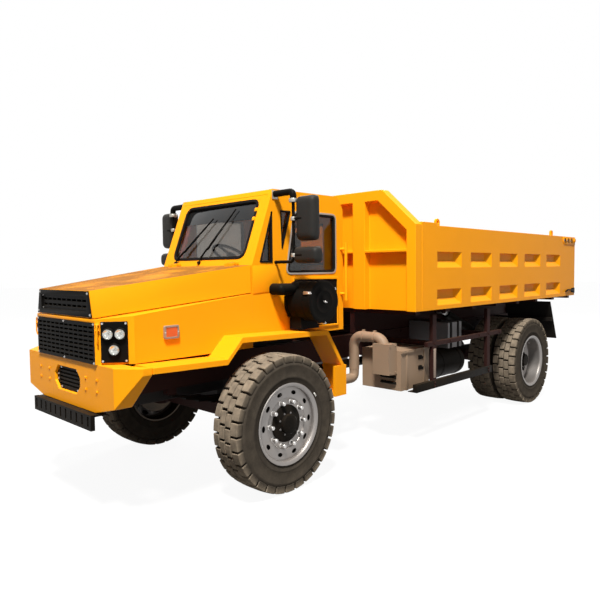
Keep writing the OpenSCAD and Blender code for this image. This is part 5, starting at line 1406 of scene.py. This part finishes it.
    def _bay(self) -> None:
        """A flat matt black plate of painted shade for the recessed bay behind the air cleaner, in a raised painted
        border, and the fixed cowl before it, on the left.
        """
        y = self.side_y
        bay = facing(along(y, (-0.455, 1.195), (-1.010, 1.190), (-1.010, 1.600), (-0.455, 1.606)), Y)
        # Painted shade: the flat matt black plate stands for the shade inside the bay.
        Shape().prism(bay, Y * 0.003).finish("cleaner_bay", MATT, bevel=0.001)
        border = Shape().frame(inset(bay, -0.022, Y), inset(bay, 0.002, Y), Y * 0.012)
        border.finish("cleaner_bay_border", BODY, bevel=0.003)
        cowl = facing(along(y, (0.004, 1.500), (-0.272, 1.517), (-0.272, 1.722), (0.004, 1.722)), Y)
        Shape().prism(cowl, Y * 0.005).finish("cowl_panel", BODY, bevel=0.002)

    def _handle(self) -> None:
        """The door's recessed pull and its screws."""
        y, z = -self.side_y, 1.575
        pull = Shape().box(at(-0.985, y - 0.005, z - 0.030), at(-0.835, y + 0.002, z + 0.030))
        path = ((-0.965, 0.004), (-0.960, 0.024), (-0.870, 0.024), (-0.865, 0.004))
        pull.tube([at(x, y - out, z) for x, out in path], 0.008, 10, 0.012)
        pull.finish("door_pull", BLACK, "door", bevel=0.002)
        bolt_row("door_pull_screws", BRIGHT, along(y - 0.005, (-0.978, z), (-0.842, z)), -Y, Head.PIN, "door")

    def _inside(self) -> None:
        """Instrument hood, dials, levers, pedals and the dash's top."""
        face, top = -0.258, 1.748
        hood = Shape().loft([
            across(face + d, (-0.20, 1.688), (0.20, 1.688), (0.17, top - d * 0.2), (-0.17, top - d * 0.2))
            for d in (0.0, 0.10, 0.18)])
        hood.box(at(-0.255, -0.57, 1.688), at(-0.045, 0.57, 1.697))
        hood.finish("instrument_hood", PLASTIC, bevel=0.010, segments=3)
        dials, levers, pedals = Shape(), Shape(), Shape()
        for y in (-0.105, 0.0, 0.105):
            dials.lathe(self.dial, at(face, y, 1.718), -X, 24)
        dials.finish("dials", ALLOY, bevel=0.0006)
        levers.tube([at(-0.44, -0.33, 1.176), at(-0.47, -0.33, 1.50), at(-0.50, -0.32, 1.66)], 0.011, 10, 0.05)
        levers.lathe(self.knob, at(-0.50, -0.32, 1.65), Vector((-0.12, 0.05, 1.0)), 20)
        levers.lathe(self.boot, at(-0.44, -0.33, 1.174), Z, 20)
        levers.finish("gear_lever", PLASTIC, bevel=0.001)
        for y in (-0.15, 0.06, 0.19):
            pedals.box(at(-0.245, y - 0.035, 1.285), at(-0.228, y + 0.035, 1.375))
            pedals.tube(along(y, (-0.232, 1.33), (-0.15, 1.42), (-0.033, 1.44)), 0.008, 8, 0.03)
        pedals.finish("pedals", RUBBER, bevel=0.003)


@dataclass
class DriverSeat:
    """Two padded cushions with piping, on a plain foot."""

    rear: float = -0.985
    front: float = -0.520
    half: float = 0.245
    low: float = 1.400
    thick: float = 0.110
    back: float = 0.120
    top: float = 2.060
    foot_half: float = 0.150
    floor: float = 1.176
    swell: float = 0.010
    pressure: float = 4.0
    steps: int = 20
    padding: float = 0.6
    channels: tuple[float, ...] = (-0.27, -0.09, 0.09, 0.27)

    def build(self) -> None:
        """Makes the cushions, their piping and the foot."""
        rear, front, half, low = self.rear, self.front, self.half, self.low
        seat = low + self.thick
        self._pad("seat_cushion", at(rear + self.back * 0.6, -half, low + 0.012), at(front, half, seat), 2)
        self._pad("seat_back", at(rear, -half, seat - 0.01), at(rear + self.back, half, self.top), 0)
        z, y = low + 0.062, half - 0.004
        path = [at(rear + 0.10, -y, z), at(front - 0.004, -y, z), at(front - 0.004, y, z), at(rear + 0.10, y, z)]
        Shape().tube(path, 0.005, 8, 0.05).finish("seat_piping", RUBBER, replaces=["seat"])
        foot = Shape().box(at(rear + 0.06, -self.foot_half, self.floor), at(front - 0.06, self.foot_half, low - 0.04))
        foot.box(at(rear + 0.02, -half + 0.03, low - 0.04), at(front - 0.02, half - 0.03, low + 0.014))
        foot.finish("seat_foot", BLACK, bevel=0.006, replaces=["seat"])

    def _pad(self, name: str, low: Vector, high: Vector, axis: int) -> None:
        """Makes one crowned cushion.

        Args:
            name: the piece's name.
            low: lowest corner.
            high: highest corner.
            axis: 0 for a back that faces forward, 2 for a seat that faces up.
        """
        inner = Vector((self.swell,) * 3)
        shape = Shape().box(low + inner, high - inner)
        bmesh.ops.recalc_face_normals(shape.bm, faces=shape.bm.faces)
        bmesh.ops.bevel(shape.bm, geom=list(shape.bm.edges), offset=0.028, segments=3, affect="EDGES", profile=0.6)
        holder = put(name + "_form", shape.mesh(name))
        modify(holder, "voxels", "REMESH", mode="VOXEL", voxel_size=0.012)
        holder.data = evaluated(holder)
        holder.modifiers.clear()
        self._swell(holder)
        modify(holder, "smooth", "SMOOTH", iterations=6, factor=0.5)
        modify(holder, "finer", "SUBSURF", levels=1, render_levels=1)
        mesh = evaluated(holder)
        bpy.data.objects.remove(holder)
        self._sew(mesh, low, high, axis)
        mesh.name = name
        piece = settle(mesh, name, Slot(Paint.CLOTH, "seat_cloth"), angle=80.0, replaces=["seat"])

    def _swell(self, holder: bpy.types.Object) -> None:
        """Blows the pad up as cloth, no further than its cap.

        Args:
            holder: the object with the pad's mesh.
        """
        start = [v.co.copy() for v in holder.data.vertices]
        settings = holder.modifiers.new("cloth", "CLOTH").settings
        settings.use_pressure = True
        settings.uniform_pressure_force = self.pressure
        settings.effector_weights.gravity = 0.0
        for step in range(self.steps):
            bpy.context.scene.frame_set(step + 1)
        mesh = evaluated(holder)
        holder.modifiers.clear()
        bpy.context.scene.frame_set(1)
        for vertex, old in zip(mesh.vertices, start):
            move = vertex.co - old
            vertex.co = old + move * min(1.0, self.swell / max(move.length, 1e-6))
        holder.data = mesh

    def _sew(self, mesh: bpy.types.Mesh, low: Vector, high: Vector, axis: int) -> None:
        """Presses sewn channels into the face of a pad.

        Args:
            mesh: the pad's mesh.
            low: lowest corner.
            high: highest corner.
            axis: 0 for a back that faces forward, 2 for a seat that faces up.
        """
        middle, size = (low + high) / 2.0, high - low
        for vertex in mesh.vertices:
            by = (vertex.co.y - middle.y) / size.y
            outward = (vertex.co[axis] - middle[axis]) / size[axis]
            if outward > 0.2 and abs(by) < 0.42:
                groove = min(abs(by - s) for s in self.channels) * size.y
                vertex.co[axis] -= 0.006 * math.exp(-(groove / 0.008) ** 2)


@dataclass
class MirrorSet:
    """Mirrors of both sides on their bent tubes."""

    x: float = -0.275
    y: float = 0.962
    half: float = 0.1025
    thick: float = 0.080
    heads: tuple[Place, ...] = ((1.915, 2.268, 0.1025), (1.738, 1.868, 0.132))
    stems: Pair = (2.0915, 1.803)
    arm_x: float = -0.245
    arm_z: float = 2.306
    foot_z: float = 1.751
    wall: Pair = (0.630, 0.638)
    tube: float = 0.013
    sleeve: float = 0.027
    bend: float = 0.040
    hull: Profile = ((0.0, 0.004), (0.005, 0.0), (0.035, 0.001), (0.055, 0.007), (0.069, 0.019), (0.077, 0.036),
                     (0.080, 0.060))

    def build(self) -> None:
        """Makes the shells, the glass, the tubes and the clamps of both sides."""
        for name, side in SIDES:
            shells, glass = Shape(), Shape()
            for low, high, half in self.heads:
                tall, mid = (high - low) / 2, at(self.x - self.thick / 2, side * self.y, (low + high) / 2)
                corners = [mid + Y * (i * half) + Z * (k * tall) for i, k in CORNERS]
                edge = rounded(facing(corners, -X), 0.046, closed=True, steps=7)
                draw, loops = min(half, tall) / self.half, []
                for rise, by in self.hull:
                    wide, high_by = 1 - by * draw / half, 1 - by * draw / tall
                    shift = mid + X * rise
                    loops.append([shift + Y * ((p.y - mid.y) * wide) + Z * ((p.z - mid.z) * high_by) for p in edge])
                shells.loft(loops)
                glass.prism([p + X * 0.002 for p in inset(edge, 0.013, -X)], -X * 0.004)
            self._finish(shells, f"mirror_shells_{name}", Slot(Paint.PLASTIC, "black_metal"), angle=60.0)
            self._finish(glass, f"mirror_glass_{name}", Slot(Paint.MIRROR, "glass"))
            self._arm(name, side)

    @staticmethod
    def _finish(shape: Shape, name: str, slot: Slot, bevel: float = 0.0, angle: float = CREASE) -> None:
        """Makes a shape a piece that stands for the part's own mirrors."""
        shape.finish(name, slot, bevel=bevel, angle=angle, replaces=["mirrors"])

    def _arm(self, name: str, side: float) -> None:
        """Tube, stems, thick sleeve and clamps of one side.

        Args:
            name: left or right.
            side: 1 for the left, -1 for the right.
        """
        x, top, wall, face = self.arm_x, self.arm_z, side * self.wall[0], side * self.wall[1]
        tube_y = side * (self.y - self.half - self.tube)
        path = across(x, (wall, top), (tube_y, top), (tube_y, self.foot_z), (wall, self.foot_z))
        tubes = Shape().tube(path, self.tube, 12, self.bend)
        for z in self.stems:
            tubes.tube(across(x, (tube_y, z), (side * (self.y - 0.02), z)), self.tube, 12)
        self._finish(tubes, f"mirror_tubes_{name}", BLACK, angle=50.0)
        path = across(x, (wall, top), (tube_y, top), (tube_y, top - 0.080))
        self._finish(Shape().tube(path, self.sleeve, 16, self.bend), f"mirror_sleeve_{name}", BLACK, angle=50.0)
        clamps = Shape()
        for z, r in ((top - 0.070, self.sleeve - 0.002), *((z, self.tube) for z in self.stems)):
            clamps.lathe(hoop(r - 0.001, r + 0.010, 0.015, 0.001), at(x, tube_y, z), Z, 18, ring=True)
        clamps.box(at(x - 0.03, wall, top - 0.042), at(x + 0.03, face, top + 0.030))
        self._finish(clamps, f"mirror_clamps_{name}", ALLOY, bevel=0.0015)


@dataclass
class AirCleanerTrim:
    """Pressed cover, wing nut, latches and straps of the air cleaner."""

    x: float = -0.482
    z: float = 1.425
    radius: float = 0.176
    ends: Pair = (0.664, 0.950)
    straps: Pair = (0.085, 0.185)
    latches: Place = (25.0, 145.0, 265.0)
    pressed: Profile = ((0.105, 0.003), (0.098, 0.007), (0.088, 0.007), (0.080, 0.003), (0.034, 0.003),
                        (0.026, 0.008), (0.0, 0.008))
    nut: Profile = ((0.0, 0.0), (0.009, 0.0), (0.009, 0.010), (0.006, 0.013), (0.0, 0.013))

    def build(self) -> None:
        """Makes the cover, its latches, the wing nut and the straps."""
        centre, r = at(self.x, 0.0, self.z), self.radius
        foot, end = self.ends
        brim = [(0.0, -0.004), (r - 0.004, -0.004), (r - 0.004, 0.002), (r - 0.020, 0.006), (r - 0.032, 0.003)]
        cover = Shape().lathe([*brim, *self.pressed], centre + Y * end, Y, 64)
        cover.finish("cleaner_cover", BLACK, bevel=0.001, angle=50.0)
        tip = centre + Y * (end + 0.008)
        nut = Shape().lathe(self.nut, tip, Y, 14)
        for side in (1.0, -1.0):
            nut.tube([tip + Y * 0.004, tip + Y * 0.008 + X * (side * 0.020) + Z * (side * 0.006)], 0.005, 8)
        nut.finish("cleaner_wing_nut", BRIGHT, angle=45.0)
        straps, latches = Shape(), Shape()
        for y in self.straps:
            straps.lathe(hoop(r - 0.009, r - 0.0055, 0.012), centre + Y * (foot + y), Y, 64, ring=True)
        straps.finish("cleaner_straps", BLACK)
        for turn in (math.radians(a) for a in self.latches):
            ray = Vector((math.cos(turn), 0.0, math.sin(turn)))
            edge, side = centre + ray * (r - 0.001), Y.cross(ray)
            corners = ((-0.075, -0.014), (-0.075, 0.014), (0.004, 0.010), (0.004, -0.010))
            latches.prism([edge + Y * (end + y) + side * s for y, s in corners], ray * 0.007)
            wire = ((0.008, -0.06), (0.011, -0.02), (-0.008, 0.006))
            latches.tube([edge + ray * out + Y * (end + y) for out, y in wire], 0.003, 8, 0.01)
        latches.finish("cleaner_latches", BRIGHT, bevel=0.001)


@dataclass
class ExhaustTrim:
    """Clamps, bolts, straps and vents of the exhaust box, and the pipe before it."""

    low: Place = (-1.985, 0.540, 0.530)
    high: Place = (-1.500, 1.000, 0.910)
    duct_y: float = 0.952
    pipe: Place = (-1.432, 1.030, 0.050)
    clamps: Pair = (0.61, 0.745)
    front_pipe: tuple[Place, ...] = (
        (-1.432, 0.490, 0.735), (-1.432, 0.490, 0.610), (-1.160, 0.475, 0.610), (-0.900, 0.385, 0.655),
        (-0.850, 0.300, 0.655))
    bolts: tuple[float, ...] = (-1.96, -1.84, -1.72, -1.60, -1.52)
    straps: Pair = (-1.90, -1.60)
    strap_half: float = 0.018
    strap: float = 0.004
    notches: Pair = (0.800, 0.700)
    notch: Profile = ((-1.880, 0.0), (-1.790, 0.0), (-1.790, 0.040), (-1.840, 0.040), (-1.860, 0.022),
                      (-1.880, 0.022))

    def build(self) -> None:
        """Makes the clamps, the front pipe, the bolts, the folded straps and the vents."""
        x, z, r = self.pipe
        (_, near, low), (front, far, top) = self.low, self.high
        clamps, straps, notches = Shape(), Shape(), Shape()
        for y in self.clamps:
            clamps.lathe(hoop(r - 0.001, r + 0.005, 0.014, 0.001), at(x, y, z), Y, 28, ring=True)
            clamps.box(at(x - 0.016, y - 0.010, z + r - 0.002), at(x + 0.016, y + 0.010, z + r + 0.016))
        clamps.finish("pipe_clamps", TAUPE, bevel=0.0015)
        pipe = Shape().tube([at(*p) for p in self.front_pipe], 0.048, 28, 0.11)
        pipe.finish("front_pipe", TAUPE, angle=50.0)
        places = along(far + 0.012, *((px, top - 0.012) for px in self.bolts))
        places += along(self.duct_y, *product((-1.480, -1.390), (0.710, 0.960)))
        bolt_row("exhaust_bolts", TAUPE, places, Y, Head.BOX)
        for px in self.straps:
            start, end = px - self.strap_half, px + self.strap_half
            straps.box(at(start, far, low - self.strap), at(end, far + self.strap, top - 0.024))
            straps.box(at(start, near, low - self.strap), at(end, far, low))
        straps.finish("exhaust_straps", TAUPE, bevel=0.0012)
        slat = ((front - 0.004, 0.672), (front + 0.030, 0.660), (front + 0.030, 0.654), (front - 0.004, 0.640))
        vent = Shape().prism(along(0.775, *slat), Y * 0.172).mesh("box_vent", 0.002)
        PATTERNS.row.run(vent, "box_vents", MATT, Count=2, Step=(0.0, 0.0, -0.055))
        for z in self.notches:
            notches.prism(along(far - 0.004, *((px, z + up) for px, up in self.notch)), Y * 0.010)
        notches.finish("box_notches", MATT, bevel=0.001)


@dataclass
class BedTrim:
    """Hinge plates and latches of the bed's tailgate."""

    half: float = 1.173
    plate: Profile = ((-5.448, 1.985), (-5.050, 1.985), (-5.020, 2.020), (-5.020, 2.086), (-5.448, 2.086))
    thick: float = 0.008
    pin: Pair = (-5.424, 2.046)
    pin_head: Profile = ((0.0, 0.0), (0.030, 0.0), (0.030, 0.014), (0.024, 0.018), (0.0, 0.018))
    slot: Profile = ((-5.085, 2.005), (-5.120, 2.005), (-5.100, 2.070), (-5.065, 2.070))
    bolts: Profile = ((-5.040, 2.040), (-5.150, 2.036), (-5.265, 2.036))
    latch: Profile = ((-5.450, 1.320), (-5.340, 1.335), (-5.320, 1.372), (-5.360, 1.392), (-5.450, 1.392))
    lever: Profile = ((-5.345, 1.360), (-5.200, 1.372), (-5.110, 1.350))

    def build(self) -> None:
        """Makes the hinge plates with their slots and bolts, and the latches."""
        for name, side in SIDES:
            y, out = side * self.half, Y * side
            plate = Shape().prism(facing(along(y, *self.plate), out), out * self.thick)
            plate.lathe(self.pin_head, *along(y, self.pin), out, 24)
            plate.finish(f"gate_hinge_plate_{name}", BODY, "bed", bevel=0.002)
            slot = Shape().prism(facing(along(y, *self.slot), out), out * 0.0095).mesh("hinge_slot", 0.001)
            PATTERNS.row.run(slot, f"gate_hinge_slots_{name}", MATT, "bed", Count=3, Step=(-0.115, 0.0, 0.0))
            bolts = along(y + side * self.thick, *self.bolts)
            bolt_row(f"gate_hinge_bolts_{name}", STEEL, bolts, out, Head.HINGE, "bed")
            latch = Shape().prism(facing(along(y, *self.latch), out), out * 0.010)
            latch.tube(along(y + side * 0.014, *self.lever), 0.010, 10, 0.03)
            latch.finish(f"gate_latch_{name}", BLACK, "bed", bevel=0.002)


@dataclass
class ChassisTrim:
    """Bolts, straps, caps and strips on the frame, guards and tanks."""

    guard_y: float = 1.120
    posts: Pair = (-1.895, -3.015)
    rail: Pair = (-3.097, -1.578)
    tank_straps: Pair = (-2.77, -2.62)
    cap: Profile = ((0.0, 0.0), (0.045, 0.0), (0.045, 0.018), (0.038, 0.026), (0.0, 0.026))
    air_tank: Pair = (0.720, 0.645)
    bands: Place = (-2.86, -2.50, -2.14)
    tank_ends: Profile = ((-2.080, 1.0), (-2.920, -1.0))
    tank_head: Profile = ((0.160, -0.004), (0.150, 0.010), (0.118, 0.022), (0.06, 0.029), (0.0, 0.031))

    def build(self) -> None:
        """Makes the reflector strips, bolts, tank straps and caps."""
        for name, side in SIDES:
            self._guard(name, side)
        straps, bands, heads = Shape(), Shape(), Shape()
        for px in self.tank_straps:
            straps.box(at(px - 0.02, 0.880, 0.813), at(px + 0.02, 0.884, 1.097))
            straps.box(at(px - 0.02, 0.40, 1.095), at(px + 0.02, 0.884, 1.099))
        straps.lathe(self.cap, at(-2.70, 0.66, 1.095), Z, 28)
        straps.finish("oil_tank_straps", BLACK, bevel=0.001)
        for px in self.bands:
            bands.lathe(hoop(0.159, 0.164, 0.018), at(px, *self.air_tank), X, 44, ring=True)
        bands.finish("air_tank_bands", BLACK)
        for px, way in self.tank_ends:
            heads.lathe(self.tank_head, at(px, *self.air_tank), X * way, 44)
        heads.finish("air_tank_heads", BLACK, angle=50.0)

    def _guard(self, name: str, side: float) -> None:
        """Lower rail, reflector strip and bolts of one side's guard, and the rivets of the frame's rail.

        Args:
            name: left or right.
            side: 1 for the left, -1 for the right.
        """
        y, out, post = side * self.guard_y, Y * side, self.posts[0]
        rear, front = self.rail
        low = Shape().box(at(rear, side * 1.077, 0.517), at(front, side * 1.124, 0.594))
        low.box(at(rear, side * 1.020, 0.517), at(front, side * 1.080, 0.525))
        low.finish(f"lower_rail_angle_{name}", BLACK, bevel=0.003)
        strip = Shape().box(at(post - 0.020, y, 0.620), at(post + 0.020, y + side * 0.003, 0.905))
        strip.finish(f"reflector_strip_{name}", STRIPE, bevel=0.001)
        heights = ((0.540, 0.004), (0.570, 0.004), (0.953, 0.0))
        places = [at(px, y + side * by, pz) for px in self.posts for pz, by in heights]
        places += along(y, *((px, 0.953) for px in (-2.2, -2.5, -2.8, -3.28)))
        bolt_row(f"guard_bolts_{name}", FRAME, places, out, Head.GUARD)
        rail = along(side * 0.380, *product((px * 0.01 for px in range(-420, -120, 30)), (0.835, 0.985)))
        bolt_row(f"rail_rivets_{name}", FRAME, rail, out, Head.RIVET)


@dataclass
class Studio:
    """Floor, lamps, world and camera."""

    eye: Place = (3.0228, 4.1168, 1.6927)
    yaw: float = 224.46
    pitch: float = -3.06
    roll: float = -0.61
    lens: float = 34.8
    sensor: float = 36.0
    ambient: float = 0.13
    floor_half: float = 60.0
    floor_tone: Pair = (0.125, 0.145)
    floor_glow: float = 1.86
    target: Place = (0.0, 0.0, 1.1)

    def build(self) -> None:
        """Builds all of it."""
        self._camera()
        self._world()
        self._floor()
        self._lamp("key", (7.4, 5.4, 14.0), 2.0, 4500.0, (1.0, 0.97, 0.92))
        self._lamp("fill", (4.0, 11.0, 4.0), 6.0, 80.0, (1.0, 0.97, 0.93))
        self._lamp("back", (-9.0, -7.0, 8.0), 6.0, 900.0, (1.0, 0.98, 0.95))

    def _camera(self) -> None:
        """Stands the camera where the photograph was taken."""
        yaw, pitch, roll = (math.radians(a) for a in (self.yaw, self.pitch, self.roll))
        ahead = Vector((math.cos(yaw) * math.cos(pitch), math.sin(yaw) * math.cos(pitch), math.sin(pitch)))
        right = ahead.cross(Z).normalized()
        up = right.cross(ahead)
        side = right * math.cos(roll) + up * math.sin(roll)
        head = up * math.cos(roll) - right * math.sin(roll)
        data = bpy.data.cameras.new("camera")
        data.lens, data.sensor_width, data.clip_end = self.lens, self.sensor, 200.0
        camera = put("camera", data)
        turn = Matrix((side, head, -ahead)).transposed().to_4x4()
        camera.matrix_world = Matrix.Translation(at(*self.eye)) @ turn
        bpy.context.scene.camera = camera

    def _world(self) -> None:
        """White to look at, softer as light."""
        world = bpy.data.worlds.new("studio")
        bpy.context.scene.world = world
        world.use_nodes = True
        graph = Graph(world.node_tree)
        back = world.node_tree.nodes["Background"].inputs
        graph.feed(back["Color"], (1.0, 1.0, 1.0, 1.0))
        graph.feed(back["Strength"], graph.spread(self._seen(graph), 0.0, 1.0, self.ambient, 1.0))

    @staticmethod
    def _seen(graph: Graph) -> Socket:
        """Tells rays from the camera, a mirror or glass.

        Args:
            graph: the graph that asks.

        Returns:
            1 for such rays, 0 for the others.
        """
        path = graph.node("ShaderNodeLightPath").outputs
        both = graph.math("ADD", path["Is Camera Ray"], path["Is Glossy Ray"])
        return graph.math("ADD", both, path["Is Transmission Ray"], clamp=True)

    def _floor(self) -> None:
        """A pale floor that keeps the truck's shadow."""
        half = self.floor_half
        mesh = Shape().box(Vector((-half, -half, -0.05)), Vector((half, half, 0.0))).mesh("floor")
        material, graph, shader = blank("pale_floor")
        graph.feed(shader["Roughness"], 0.9)
        graph.feed(shader["Base Color"], graph.spread(graph.noise(0.6, 3.0), 0.3, 0.7, *self.floor_tone))
        lit = graph.tree.nodes["Principled BSDF"].outputs[0]
        glow = graph.node("ShaderNodeEmission", Strength=self.floor_glow).outputs[0]
        blend = graph.node("ShaderNodeMixShader", graph.math("MULTIPLY", self._seen(graph), 0.5), lit, glow)
        graph.feed(graph.tree.nodes["Material Output"].inputs["Surface"], blend.outputs[0])
        mesh.materials.append(material)
        put("floor", mesh)

    def _lamp(self, name: str, place: Place, size: float, power: float, colour: Rgb) -> None:
        """Hangs a soft lamp that looks at the truck's middle.

        Args:
            name: the lamp's name.
            place: where it hangs.
            size: its width.
            power: its watts.
            colour: its light's colour.
        """
        data = bpy.data.lights.new(name, "AREA")
        data.energy, data.size, data.color = power, size, colour
        lamp = put(name, data)
        lamp.location = place
        lamp.rotation_euler = (Vector(self.target) - Vector(place)).to_track_quat("-Z", "Y").to_euler()


def main() -> None:
    """Builds the truck's pieces in order and reports each."""
    logging.basicConfig(level=logging.INFO, format="%(name)s %(message)s")
    bpy.context.scene.view_settings.view_transform = "Standard"
    Studio().build()
    Coats().dress()
    for side, way in SIDES:
        front, rear = f"tyre_front_{side}", f"tyres_rear_{side}"
        front_body, rear_body = f"wheel_f{side[0]}", f"wheels_r{side[0]}"
        BlockTyre(front, front_body).build()
        BlockTyre(rear, rear_body, twin=True).build()
        WheelTrim(front, f"front_wheel_{side}", front_body, way).build()
        WheelTrim(rear, f"rear_wheels_{side}", rear_body, way, lip_at=0.165, face=0.079, shade=0.045, dished=False,
                  hub=REAR_HUB, cap_face=0.108).build()
    mark_tyre()
    for assembly in (NoseFittings, CabTrim, DriverSeat, MirrorSet, AirCleanerTrim, ExhaustTrim, BedTrim, ChassisTrim):
        assembly().build()


if __name__ == "__main__":
    main()
